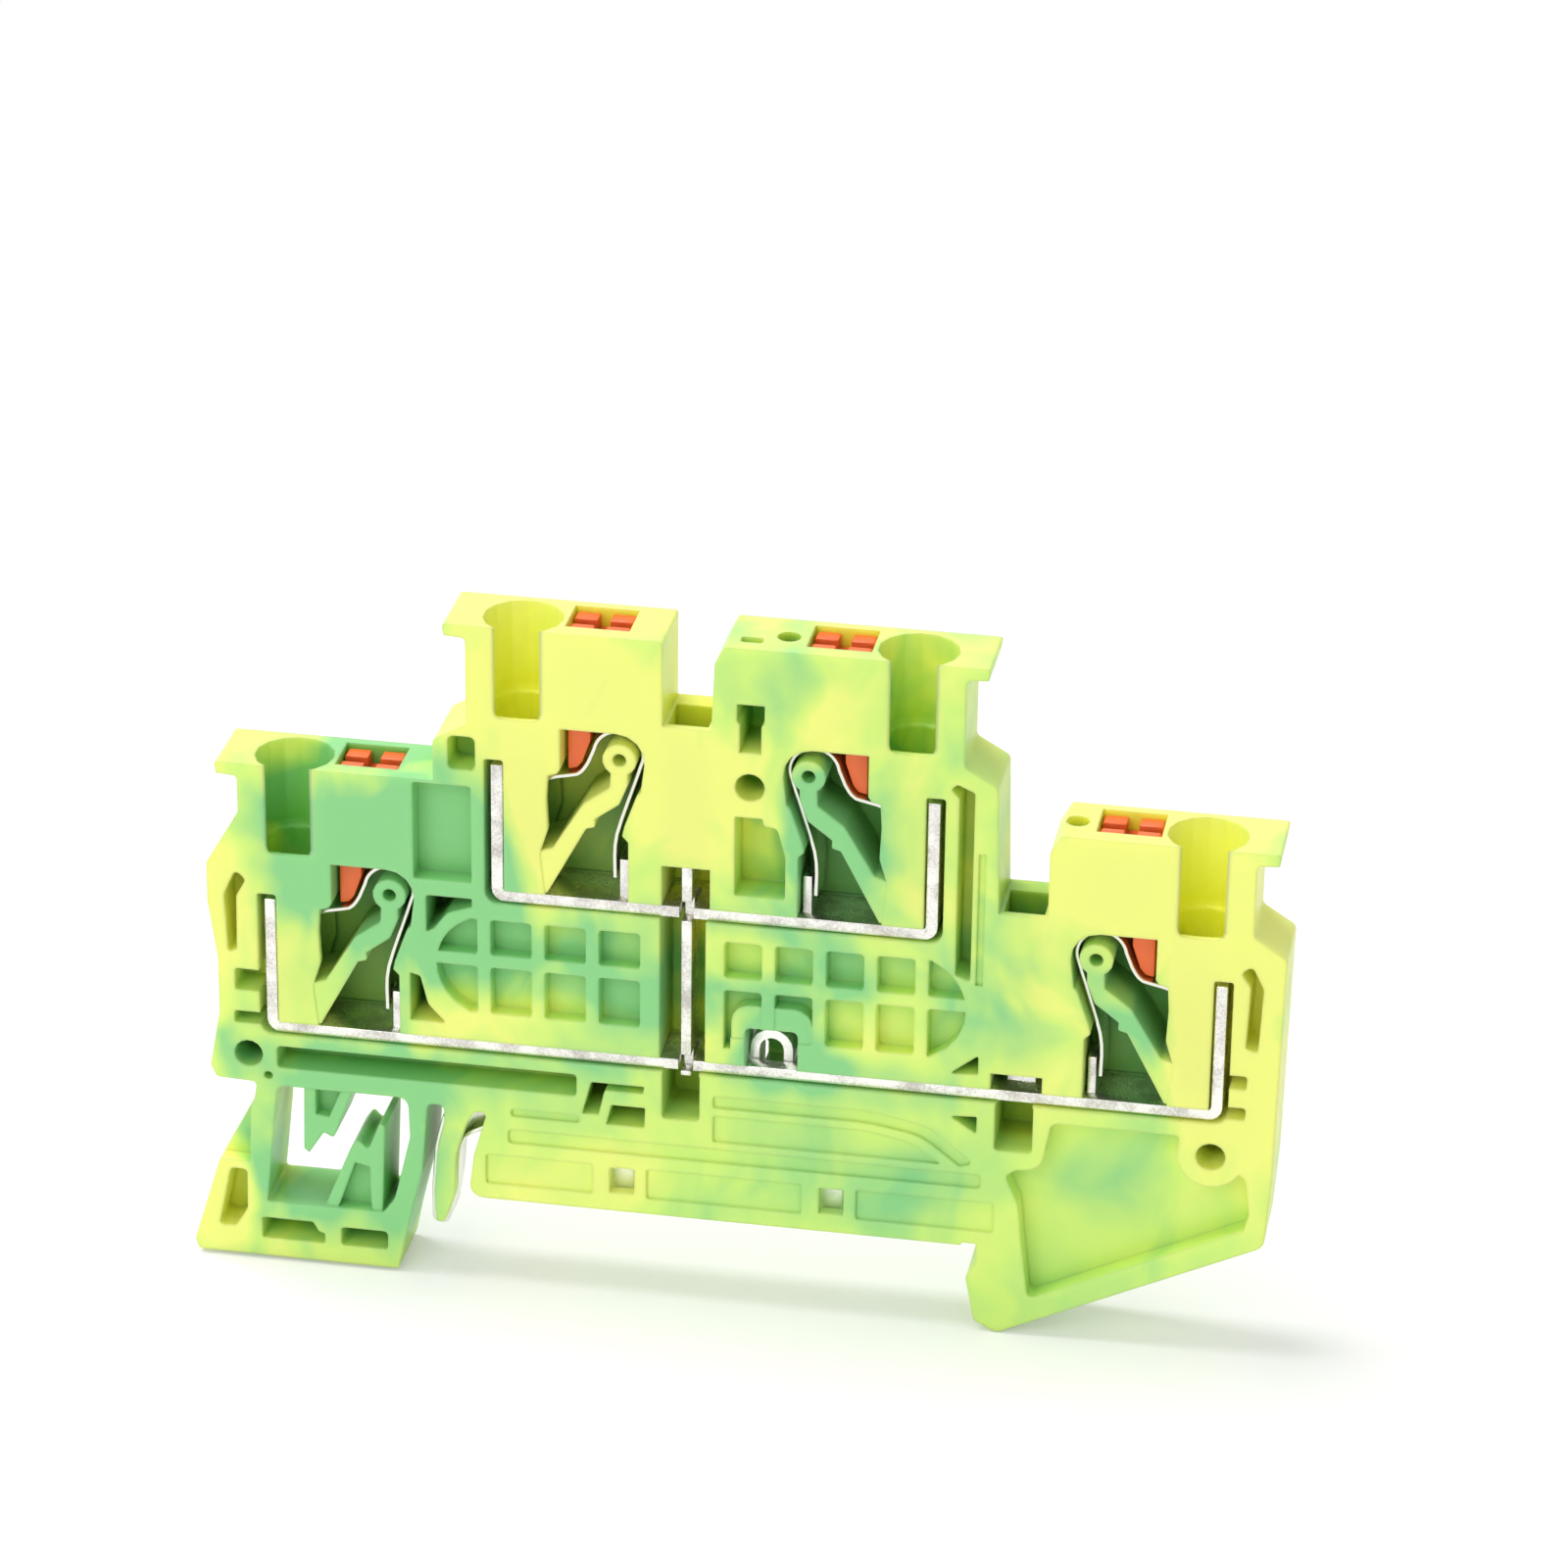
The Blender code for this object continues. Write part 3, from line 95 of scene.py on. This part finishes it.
class Flow:
    """A socket in a tree of nodes. Arithmetic on flows adds the Math nodes that do it."""

    def __init__(self, tree, socket=None):
        self.tree = tree
        self.socket = socket

    def add(self, kind, settings=None, values=None, out=0):
        """A new node, with its settings first and then the values or links of its sockets."""
        node = self.tree.nodes.new(kind)
        for name, setting in (settings or {}).items():
            if name == "stops":
                bands = node.color_ramp.elements
                while len(bands) < len(setting):
                    bands.new(1.0)
                for element, (position, colour) in zip(bands, setting):
                    element.position = position
                    element.color = colour
            else:
                setattr(node, name, setting)
        for name, value in (values or {}).items():
            if isinstance(value, Flow):
                self.tree.links.new(value.socket, node.inputs[name])
            else:
                node.inputs[name].default_value = value
        return Flow(self.tree, node.outputs[out] if node.outputs else None)

    def other(self, out):
        """Another outlet of the same node."""
        return Flow(self.tree, self.socket.node.outputs[out])

    def math(self, operation, *values):
        """A Math node on these values."""
        return self.add("ShaderNodeMath", {"operation": operation}, dict(enumerate(values)))

    def vector(self, operation, second, out=0):
        """A Vector Math node on this place or direction and a second one."""
        return self.add("ShaderNodeVectorMath", {"operation": operation}, {0: self, 1: second}, out)

    def step(self, low, high):
        """0 at low and 1 at high, with a soft step between them."""
        values = {"Value": self, "From Min": low, "From Max": high}
        return self.add("ShaderNodeMapRange", {"interpolation_type": "SMOOTHSTEP"}, values)

    def __add__(self, second):
        return self.math("ADD", self, second)

    def __sub__(self, second):
        return self.math("SUBTRACT", self, second)

    def __rsub__(self, first):
        return self.math("SUBTRACT", first, self)

    def __mul__(self, second):
        return self.math("MULTIPLY", self, second)

    __radd__ = __add__
    __rmul__ = __mul__


def tone(red, green, blue):
    """A colour as it is seen, from 0 to 255, in the linear values that shaders take."""
    seen = (red / 255, green / 255, blue / 255)
    linear = [c / 12.92 if c <= 0.04045 else ((c + 0.055) / 1.055) ** 2.4 for c in seen]
    return (*linear, 1.0)


def new_material(name):
    """An empty material, and a flow that starts its nodes."""
    made = bpy.data.materials.new(name)
    made.use_nodes = True
    made.node_tree.nodes.clear()
    return made, Flow(made.node_tree)


def place_camera():
    """A long lens that looks down on the block, turned and rolled as in the photograph."""
    data = bpy.data.cameras.new("photo_camera")
    data.sensor_width = SENSOR
    data.lens = LENS
    data.clip_start = CLIP_START
    data.clip_end = CLIP_END
    camera = bpy.data.objects.new("photo_camera", data)
    bpy.context.scene.collection.objects.link(camera)
    camera.matrix_world = (
        Matrix.Translation(CAMERA_PLACE)
        @ Matrix.Rotation(CAMERA_AZIMUTH, 4, "Z")
        @ Matrix.Rotation(math.pi / 2 - CAMERA_ELEVATION, 4, "X")
        @ Matrix.Rotation(CAMERA_ROLL, 4, "Z")
    )
    bpy.context.scene.camera = camera


def soft_lamp(name, place, size, watts):
    """A square lamp that looks at the block."""
    data = bpy.data.lights.new(name, "AREA")
    data.size = size
    data.energy = watts
    lamp = bpy.data.objects.new(name, data)
    lamp.location = place
    lamp.rotation_euler = (-Vector(place)).to_track_quat("-Z", "Y").to_euler()
    bpy.context.scene.collection.objects.link(lamp)


def white_room():
    """An even room: white to look at and in reflections, and a plain level of light on the block."""
    world = bpy.data.worlds.new("white_room")
    world.use_nodes = True
    world.node_tree.nodes.clear()
    start = Flow(world.node_tree)
    seen = start.add("ShaderNodeLightPath", out="Is Camera Ray")
    mirrored = seen.math("MAXIMUM", seen, seen.other("Is Glossy Ray"))
    white = seen.math("MAXIMUM", mirrored, seen.other("Is Transmission Ray"))
    strength = white * (1.0 - ROOM_LIGHT) + ROOM_LIGHT
    room = start.add("ShaderNodeBackground", None, {"Color": WHITE, "Strength": strength})
    start.add("ShaderNodeOutputWorld", None, {"Surface": room})
    bpy.context.scene.world = world


def lay_floor():
    """The sweep under the block, a white card that fades into the room's white away from it."""
    material, start = new_material("white_card")
    place = start.add("ShaderNodeTexCoord", out="Object")
    far = place.vector("LENGTH", (0, 0, 0), "Value").step(FADE_START, FADE_END)
    glowing = far * (1 - LEAST_GLOW) + LEAST_GLOW
    card = start.add("ShaderNodeBsdfPrincipled", None, {
        "Base Color": CARD_WHITE, "Roughness": 0.75, "Specular IOR Level": 0.2,
    })
    glow = start.add("ShaderNodeEmission", None, {"Color": WHITE, "Strength": 1.0})
    seen = start.add("ShaderNodeLightPath", out="Is Camera Ray")
    sheet = start.add("ShaderNodeMixShader", None, {0: glowing * seen, 1: card, 2: glow})
    start.add("ShaderNodeOutputMaterial", None, {"Surface": sheet})

    mesh = bpy.data.meshes.new("floor")
    half = FLOOR_SIZE / 2
    level = cad_box[0].z - FLOOR_GAP
    corners = [(-half, -half, level), (half, -half, level), (half, half, level), (-half, half, level)]
    mesh.from_pydata(corners, [], [(0, 1, 2, 3)])
    mesh.materials.append(material)
    floor = bpy.data.objects.new("floor", mesh)
    bpy.context.scene.collection.objects.link(floor)


place_camera()
soft_lamp("key_lamp", KEY_PLACE, KEY_SIZE, KEY_WATTS)
soft_lamp("fill_lamp", FILL_PLACE, FILL_SIZE, FILL_WATTS)
white_room()
lay_floor()
bpy.context.scene.view_settings.view_transform = "Standard"


# Housing: one moulding of yellow and green nylon, run together in the mould so that soft blotches and
# streaks of both colours show. Its faces are bright and a little cloudy. Its pockets carry painted light
# and shade in their colour: deeper yellow or green for bounce light, darker where they are closed in.

# A place has its name, its middle in x and z, its reach along both, in mm, and how far it turns the
# colour. The green and yellow ones are blurred by the drift of the melt, and the clear ones aren't.
GREEN_PLACES = (
    ("lower left tower", -23.0, 25.0, 9.0, 8.0, 0.30),
    ("between the left towers", -17.0, 25.0, 5.0, 8.0, 0.26),
    ("top of the left panel", -12.0, 19.5, 10.0, 4.0, 0.20),
    ("left deck", -24.0, 8.5, 13.0, 3.0, 0.20),
    ("left of the right panel", 4.0, 18.0, 6.0, 5.0, 0.10),
    ("streak in the upper right tower", 4.7, 38.0, 1.3, 6.0, 0.18),
    ("upper right clamp", 8.5, 28.0, 4.0, 6.0, 0.30),
    ("lower right clamp", 26.5, 17.5, 3.5, 5.0, 0.22),
    ("right end of the foot", 16.0, 4.0, 6.0, 5.0, 0.18),
    ("hook", 20.5, -3.5, 4.0, 4.0, 0.10),
    ("middle of the right web", 26.0, 6.5, 4.5, 4.0, 0.12),
    ("left foot", -25.0, -1.0, 7.0, 3.0, 0.16),
    # This place turns the lower half to green, partly for the nylon's own colour and partly as painted shade
    # towards the bottom.
    ("lower half", 2.0, 11.0, 34.0, 12.0, 0.10),
)
YELLOW_PLACES = (
    ("lower left end", -33.0, 20.0, 4.5, 7.0, 0.22),
    ("upper left tower", -9.5, 36.0, 10.0, 10.0, 0.30),
    ("below the middle valley", -1.0, 30.0, 7.0, 7.0, 0.22),
    ("upper right tower", 10.0, 37.0, 8.0, 7.0, 0.04),
    ("lower right tower", 29.5, 27.0, 9.0, 9.0, 0.34),
    ("right end", 35.0, 13.0, 5.0, 12.0, 0.40),
    ("foot at the left", -11.0, 1.5, 9.0, 3.0, 0.20),
    ("bottom of the left panel", -12.0, 13.0, 9.0, 2.8, 0.20),
    ("left foot's outer web", -33.0, -2.0, 3.0, 6.0, 0.30),
    ("lower part of the right web", 23.5, 0.5, 2.5, 3.0, 0.10),
)
CLEAR_PLACES = (
    ("upper left column and arm", -10.5, 27.0, 4.5, 8.0, -0.30),
    ("lower left column and arm", -26.5, 15.5, 4.5, 5.0, -0.12),
    ("upper right boss", 6.3, 31.0, 2.2, 4.5, 0.20),
    ("upper right arm", 10.0, 26.0, 3.0, 4.5, 0.14),
    ("lower right boss", 25.0, 21.5, 2.0, 2.6, 0.20),
    ("lower right column", 31.0, 16.5, 2.6, 7.0, -0.25),
    ("foot box", -24.5, 0.5, 7.5, 7.0, 0.20),
    ("round the arch", 4.5, 12.5, 5.0, 3.0, 0.22),
    ("lower edge of the right panel", 11.0, 11.0, 6.0, 2.5, 0.16),
    ("upper left of the right panel", 1.0, 19.5, 5.0, 2.2, -0.20),
)

# A pocket's place ends with two amounts: how far painted bounce light turns it to green, and how far
# painted shade darkens it, where a negative amount is painted light that brightens it.
POCKET_SHADE_PLACES = (
    ("lower left chamber", -23.1, 17.1, 4.6, 7.4, 0.5, 0.3),
    ("upper left chamber", -8.0, 28.1, 4.6, 7.4, 0.5, 0.3),
    ("upper right chamber", 8.0, 28.1, 4.6, 7.4, 0.4, 0.4),
    ("lower right chamber", 26.7, 17.1, 4.6, 7.4, 0.4, 0.4),
    ("keyhole and test hole", 2.5, 32.2, 2.2, 4.6, 0.3, -0.6),
    ("lower left entry", -28.4, 27.0, 3.2, 7.0, 0.0, -0.6),
    ("upper left entry", -13.4, 37.0, 3.2, 7.0, 0.0, -0.6),
    ("upper right entry", 13.4, 37.0, 3.2, 7.0, 0.1, -0.6),
    ("lower right entry", 32.0, 27.0, 3.2, 7.0, -0.1, -0.6),
    ("right pocket", 34.5, 17.0, 1.8, 5.5, -0.1, -0.6),
)
LEMON = tone(236, 243, 128)
LIME = tone(204, 236, 122)
LEAF = tone(138, 207, 136)
# Pocket colours of painted light and shade: the saturated pair stands for light bounced inside a pocket, the
# darker pair for the shade deepest in it.
LEMON_PAINTED_BOUNCE = tone(255, 252, 66)
LEAF_PAINTED_BOUNCE = tone(124, 194, 80)
LEMON_PAINTED_SHADE = tone(84, 140, 36)
LEAF_PAINTED_SHADE = tone(34, 92, 30)
PER_MM = 1 / MM
DRIFT = 9.0
DRAWN_OUT = (1.0, 0.6, 0.4)
CLOUD_SHARE = 0.75
STREAK_SHARE = 0.5

# A soft step is given as where it starts and where it is full.
BLURRED_SPOT = (1.25, 0.25)
CLEAR_SPOT = (1.2, 0.4)
POCKET_SPOT = (1.1, 0.8)
CALM_BELOW = (12.0, 9.0)
CALM_RIGHT_OF = (-20.0, -15.0)
CALM_GREEN = 0.5
CALM_SHARE = 0.5
# The next six paint shade into the colour: they say how far behind the face and how closed in a point must
# be to take the painted pocket colours, and how much of them it takes.
BEHIND_FACE = (-1.2, 0.8)
IN_POCKET = (0.95, 0.3)
IN_HOLE = (0.36, 0.1)
PAINTED_HOLE_SHADE = 0.6
PAINTED_FACE_SHADE = 0.15
PAINTED_INNER_SHADE = 0.8
ROUNDING = 0.3 * MM
# How far round a point the painted pocket shade looks for its surroundings.
POCKET_REACH = 5.0 * MM
RELIEF_DEPTH = 0.02 * MM


def block_place(start):
    """Where a point lies on the block, in mm."""
    place = start.add("ShaderNodeTexCoord", out="Object").vector("SCALE", (0, 0, 0))
    place.socket.node.inputs["Scale"].default_value = PER_MM
    return place


def noise(place, scale, detail=2.0, distortion=0.0, out=0):
    """Soft clouds, which get smaller as the scale grows."""
    return place.add("ShaderNodeTexNoise", None, {
        "Vector": place, "Scale": scale, "Detail": detail, "Distortion": distortion,
    }, out)


def ramp(amount, *stops):
    """A colour picked by an amount."""
    return amount.add("ShaderNodeValToRGB", {"stops": stops}, {"Fac": amount}, "Color")


def between(amount, first, second):
    """The first colour at 0, the second at 1 and a mixture between them."""
    return amount.add("ShaderNodeMix", {"data_type": "RGBA"}, {0: amount, 6: first, 7: second}, 2)


def near(place, spot, rim):
    """0 outside a spot and 1 inside it, with a soft rim that is given in shares of the spot's reach."""
    x, z, reach_x, reach_z = spot
    away = place.vector("SUBTRACT", (x, 0, z)).vector("MULTIPLY", (1 / reach_x, 0, 1 / reach_z))
    return away.vector("LENGTH", (0, 0, 0), "Value").step(*rim)


def openness(start, reach):
    """How much of its surroundings a point sees: 1 on an open face and 0 deep in a hole."""
    settings = {"samples": 6, "only_local": True}
    return start.add("ShaderNodeAmbientOcclusion", settings, {"Distance": reach}, "AO")


def relief(height, strength, normal=None):
    """A fine unevenness of the surface, on top of another normal where one is given."""
    values = {"Strength": strength, "Distance": RELIEF_DEPTH, "Height": height}
    if normal is not None:
        values["Normal"] = normal
    return height.add("ShaderNodeBump", None, values)


def finished(material, start, values):
    """The material, ended by a shader with these values."""
    shader = start.add("ShaderNodeBsdfPrincipled", None, values)
    start.add("ShaderNodeOutputMaterial", None, {"Surface": shader})
    return material


def greenness(place, warped, drawn, height):
    """How green the nylon is, from lemon at 0 to leaf green at 1. The foot is calmer than the rest."""
    cloud = noise(warped, 0.12, 3.0)
    streak = noise(drawn, 0.24, distortion=0.6)
    green = cloud * CLOUD_SHARE + streak * STREAK_SHARE - (CLOUD_SHARE + STREAK_SHARE - 1) / 2
    for places, sign in ((GREEN_PLACES, 1), (YELLOW_PLACES, -1)):
        for _, *spot, amount in places:
            green = green + near(warped, spot, BLURRED_SPOT) * (sign * amount)
    for _, *spot, amount in CLEAR_PLACES:
        green = green + near(place, spot, CLEAR_SPOT) * amount
    calm = height.step(*CALM_BELOW) * height.other("X").step(*CALM_RIGHT_OF) * CALM_SHARE
    return green * (1 - calm) + calm * CALM_GREEN


def marbled_plastic():
    """Yellow and green nylon placed as in the real moulding, with painted light and shade in its pockets."""
    material, start = new_material("marbled_plastic")
    place = block_place(start)
    height = start.add("ShaderNodeSeparateXYZ", None, {"Vector": place}, "Z")
    swirl = noise(place, 0.09, out="Color").vector("SUBTRACT", (0.5, 0.5, 0.5))
    warped = place.vector("ADD", swirl.vector("MULTIPLY", (DRIFT, DRIFT, DRIFT)))
    drawn = warped.vector("MULTIPLY", DRAWN_OUT)
    green = greenness(place, warped, drawn, height)
    face = ramp(green, (0.34, LEMON), (0.50, LIME), (0.70, LEAF))

    # Painted light and shade in the pockets: a saturated colour stands for bounce light and turns into a
    # shade colour where a point is closed in; the listed pocket places turn it more green, or lighter or
    # darker.
    open_sky = openness(start, POCKET_REACH)
    depth = height.other("Y").step(*BEHIND_FACE)
    painted_darkness = open_sky.step(*IN_HOLE) * PAINTED_HOLE_SHADE
    green_and_painted_bounce = green
    for _, *spot, turn, shade in POCKET_SHADE_PLACES:
        pocket = near(place, spot, POCKET_SPOT)
        painted_darkness = painted_darkness + pocket * shade
        green_and_painted_bounce = green_and_painted_bounce + pocket * turn
    deep = ramp(green_and_painted_bounce, (0.34, LEMON_PAINTED_BOUNCE), (0.70, LEAF_PAINTED_BOUNCE))
    painted_dark = ramp(green_and_painted_bounce, (0.26, LEMON_PAINTED_SHADE), (0.60, LEAF_PAINTED_SHADE))
    painted_pocket_colour = between(painted_darkness * depth, deep, painted_dark)
    # The painted pocket colour takes over where a point is closed in, most where it lies behind the face; on
    # the open face, closed-in corners are tinted a little.
    colour = between(open_sky.step(*IN_POCKET) * (depth * PAINTED_INNER_SHADE + PAINTED_FACE_SHADE), face, painted_pocket_colour)

    soft_edge = start.add("ShaderNodeBevel", {"samples": 4}, {"Radius": ROUNDING})
    return finished(material, start, {
        "Base Color": colour, "Roughness": noise(drawn, 0.5) * 0.14 + 0.30,
        "Normal": relief(noise(place, 9.0), 0.12, soft_edge), "IOR": 1.5, "Specular IOR Level": 0.35,
        "Subsurface Weight": 0.35, "Subsurface Radius": (1.0, 1.0, 0.5), "Subsurface Scale": 1.4 * MM,
    })


def dress(node, material):
    """Gives a CAD node its finish."""
    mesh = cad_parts[node].data
    mesh.materials.clear()
    mesh.materials.append(material)


dress("housing", marbled_plastic())


# Current bars, level link and earth strap: strips of copper, punched, bent and tinned. The rolled faces
# are bright, with soft clouds of duller and rougher tin.
TIN_WHITE = tone(250, 249, 246)
TIN = tone(236, 234, 229)
TIN_DULL = tone(186, 182, 176)
BAR_EDGE = 0.07 * MM
WELD = 0.0002 * MM
SMOOTH_ANGLE = math.radians(30)
FLAT_ANGLE = math.radians(0.5)


def tinned_copper(name, bright, dull, roughness):
    """Tin plate: bright, cloudy, with fine rolling lines along the strip."""
    material, start = new_material(name)
    place = block_place(start)
    lines = noise(place.vector("MULTIPLY", (0.3, 9.0, 0.6)), 2.0)
    grain = noise(place, 8.0, 3.0)
    patch = (noise(place, 0.6, 3.0) * 0.6 + grain * 0.4).step(0.4, 0.68)
    return finished(material, start, {
        "Base Color": between(patch, bright, dull), "Metallic": 1.0, "Roughness": patch * 0.14 + roughness,
        "Normal": relief(lines + grain * 0.8, 0.3),
    })


def eased(node, name, edge, material, body="root"):
    """A copy of a CAD node with whole flat faces and rounded edges, which stands for the node."""
    shape = bmesh.new()
    shape.from_mesh(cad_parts[node].data)
    bmesh.ops.remove_doubles(shape, verts=shape.verts, dist=WELD)
    bmesh.ops.dissolve_limit(shape, angle_limit=FLAT_ANGLE, verts=shape.verts, edges=shape.edges)
    sharp = [e for e in shape.edges if e.is_manifold and e.calc_face_angle() > SMOOTH_ANGLE]
    bmesh.ops.bevel(
        shape, geom=sharp, offset=edge, offset_type="OFFSET", segments=2, profile=0.5,
        affect="EDGES", clamp_overlap=True,
    )
    mesh = bpy.data.meshes.new(name)
    shape.to_mesh(mesh)
    shape.free()
    mesh.materials.append(material)
    mesh.shade_smooth()
    mesh.set_sharp_from_angle(angle=SMOOTH_ANGLE)
    piece = bpy.data.objects.new(name, mesh)
    bpy.context.scene.collection.objects.link(piece)
    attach(piece, body)
    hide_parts(node)


tin = tinned_copper("tinned_copper", TIN, TIN_DULL, 0.24)
matt_tin = tinned_copper("matt_tin", TIN_WHITE, TIN, 0.45)
eased("lower_bar", "lower_bar_tinned", BAR_EDGE, tin)
eased("upper_bar", "upper_bar_tinned", BAR_EDGE, tin)
eased("level_link", "level_link_tinned", BAR_EDGE, tin)
eased("earth_strap", "earth_strap_tinned", BAR_EDGE, matt_tin)


# Clamp springs: thin bright steel strip, hooked round the housing's bosses. The fixed end lies against
# the bar's tab, and the free end is pushed down by its button and bites the wire against the bar.
CLAMPS = (("lower_left", -1), ("upper_left", -1), ("upper_right", 1), ("lower_right", 1))
STEEL = tone(224, 222, 214)
STRIP_THICK = 0.25
STRIP_WIDTH = 3.2
STRIP_EDGE = 0.06
LOOP_RADIUS = 1.6
LOOP_SHIFT = 0.205
LOOP_START = math.radians(190)
LOOP_END = math.radians(10)
LOOP_STEPS = 20

# The strip's middle line in each leg, as reaches out from the boss and rises above it, in mm.
FIXED_LEG = ((0.42, -8.7), (0.45, -7.2), (0.42, -6.4), (0.3, -5.6), (0.02, -4.6))
FREE_LEG = (
    (2.18, -0.72), (2.42, -1.14), (2.62, -1.4), (2.9, -1.62), (3.4, -1.74), (4.3, -1.93), (5.1, -2.22),
)
FREE_TIP = (7.42, -3.45)


def spring_steel():
    """Bright rolled spring strip, with faint lines along it."""
    material, start = new_material("spring_steel")
    lines = noise(block_place(start).vector("MULTIPLY", (0.4, 14.0, 0.4)), 1.5)
    return finished(material, start, {
        "Base Color": STEEL, "Metallic": 1.0, "Roughness": lines * 0.16 + 0.16,
        "Normal": relief(lines, 0.2),
    })


def strip_maker(metal):
    """Nodes that draw a strip with rolled edges along a line that lies in the block's XZ plane."""
    tree = bpy.data.node_groups.new("strip_maker", "GeometryNodeTree")
    tree.interface.new_socket("Line", in_out="INPUT", socket_type="NodeSocketGeometry")
    for label in ("Width", "Thickness", "Edge"):
        tree.interface.new_socket(label, in_out="INPUT", socket_type="NodeSocketFloat")
    tree.interface.new_socket("Strip", in_out="OUTPUT", socket_type="NodeSocketGeometry")
    start = Flow(tree)
    line = start.add("NodeGroupInput", out="Line")
    flat = start.add("GeometryNodeCurvePrimitiveQuadrilateral", None, {
        "Width": line.other("Width"), "Height": line.other("Thickness"),
    })
    section = start.add("GeometryNodeFilletCurve", {"mode": "POLY"}, {
        "Curve": flat, "Radius": line.other("Edge"), "Count": 3,
    })
    upright = start.add("GeometryNodeSetCurveNormal", {"mode": "FREE"}, {"Curve": line, "Normal": (0, 1, 0)})
    swept = start.add("GeometryNodeCurveToMesh", None, {
        "Curve": upright, "Profile Curve": section, "Fill Caps": True,
    })
    real = start.add("GeometryNodeRealizeInstances", None, {"Geometry": swept})
    done = start.add("GeometryNodeSetMaterial", None, {"Geometry": real, "Material": metal})
    start.add("NodeGroupOutput", None, {"Strip": done})
    return tree


def spring_path(boss, side):
    """The strip's middle line round a boss, from its fixed end to its free end, in metres."""
    turns = [LOOP_START + (LOOP_END - LOOP_START) * i / LOOP_STEPS for i in range(LOOP_STEPS + 1)]
    loop = [(LOOP_SHIFT + LOOP_RADIUS * math.cos(a), LOOP_RADIUS * math.sin(a)) for a in turns]
    line = [*FIXED_LEG, *loop, *FREE_LEG, FREE_TIP]
    return [boss + Vector((side * reach, 0, rise)) * MM for reach, rise in line]


def strip_along(name, path, tree, sizes):
    """A plain mesh of the strip that the node tree draws along a path."""
    line = bpy.data.curves.new(name, "CURVE")
    line.dimensions = "3D"
    spline = line.splines.new("POLY")
    spline.points.add(len(path) - 1)
    for point, place in zip(spline.points, path):
        point.co = (*place, 1)
    guide = bpy.data.objects.new(name + "_line", line)
    bpy.context.scene.collection.objects.link(guide)
    strip = guide.modifiers.new("strip", "NODES")
    strip.node_group = tree
    for item in tree.interface.items_tree:
        if item.in_out == "INPUT" and item.name in sizes:
            strip[item.identifier] = sizes[item.name] * MM
    made = guide.evaluated_get(bpy.context.evaluated_depsgraph_get())
    mesh = bpy.data.meshes.new_from_object(made)
    bpy.data.objects.remove(guide)
    mesh.shade_smooth()
    mesh.set_sharp_from_angle(angle=SMOOTH_ANGLE)
    piece = bpy.data.objects.new(name, mesh)
    bpy.context.scene.collection.objects.link(piece)
    return piece


steel = spring_steel()
strip_tree = strip_maker(steel)
strip_sizes = {"Width": STRIP_WIDTH, "Thickness": STRIP_THICK, "Edge": STRIP_EDGE}
loop_out = (LOOP_SHIFT - LOOP_RADIUS - STRIP_THICK / 2) * MM
for clamp, side in CLAMPS:
    low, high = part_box("clamp_spring_" + clamp)
    boss_x = low.x - loop_out if side > 0 else high.x + loop_out
    boss_z = high.z - (LOOP_RADIUS + STRIP_THICK / 2) * MM
    boss = Vector((boss_x, (low.y + high.y) / 2, boss_z))
    spring = strip_along("spring_strip_" + clamp, spring_path(boss, side), strip_tree, strip_sizes)
    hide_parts("clamp_spring_" + clamp)
    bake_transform(spring)


# Rail clip: thin spring steel, the same as the clamp springs'. It is folded round the housing's sprung
# finger, which it grips by its own bend, and bites the rail's edge.
eased("rail_clip", "rail_clip_bright", STRIP_EDGE * MM, steel)


# Push buttons: orange nylon, moulded, with four posts on the head that a screwdriver's blade sits
# between. Each slides in its own shaft and rests on its spring.
ORANGE = tone(232, 96, 34)
ORANGE_PALE = tone(246, 122, 52)
ORANGE_PAINTED_SHADE = tone(120, 34, 8)
# The painted groove shade: where it starts and is full, and how far round a point it looks.
IN_GROOVE = (0.8, 0.3)
GROOVE_REACH = 1.5 * MM
BUTTON_EDGE = 0.3 * MM


def orange_plastic():
    """Satin orange nylon, darkened by painted shade in its narrow hollows."""
    material, start = new_material("orange_plastic")
    place = block_place(start)
    cloud = noise(place, 0.8)
    bright = between(cloud * 0.5, ORANGE, ORANGE_PALE)
    # Painted shade: darker where a point is closed in by the head's posts.
    groove_shade = openness(start, GROOVE_REACH).step(*IN_GROOVE) * 0.8
    return finished(material, start, {
        "Base Color": between(groove_shade, bright, ORANGE_PAINTED_SHADE), "Roughness": cloud * 0.1 + 0.32,
        "Normal": relief(noise(place, 9.0), 0.12), "IOR": 1.53,
    })


orange = orange_plastic()
for clamp, _ in CLAMPS:
    node = "push_button_" + clamp
    eased(node, "button_" + clamp + "_moulded", BUTTON_EDGE, orange, "button_" + clamp)
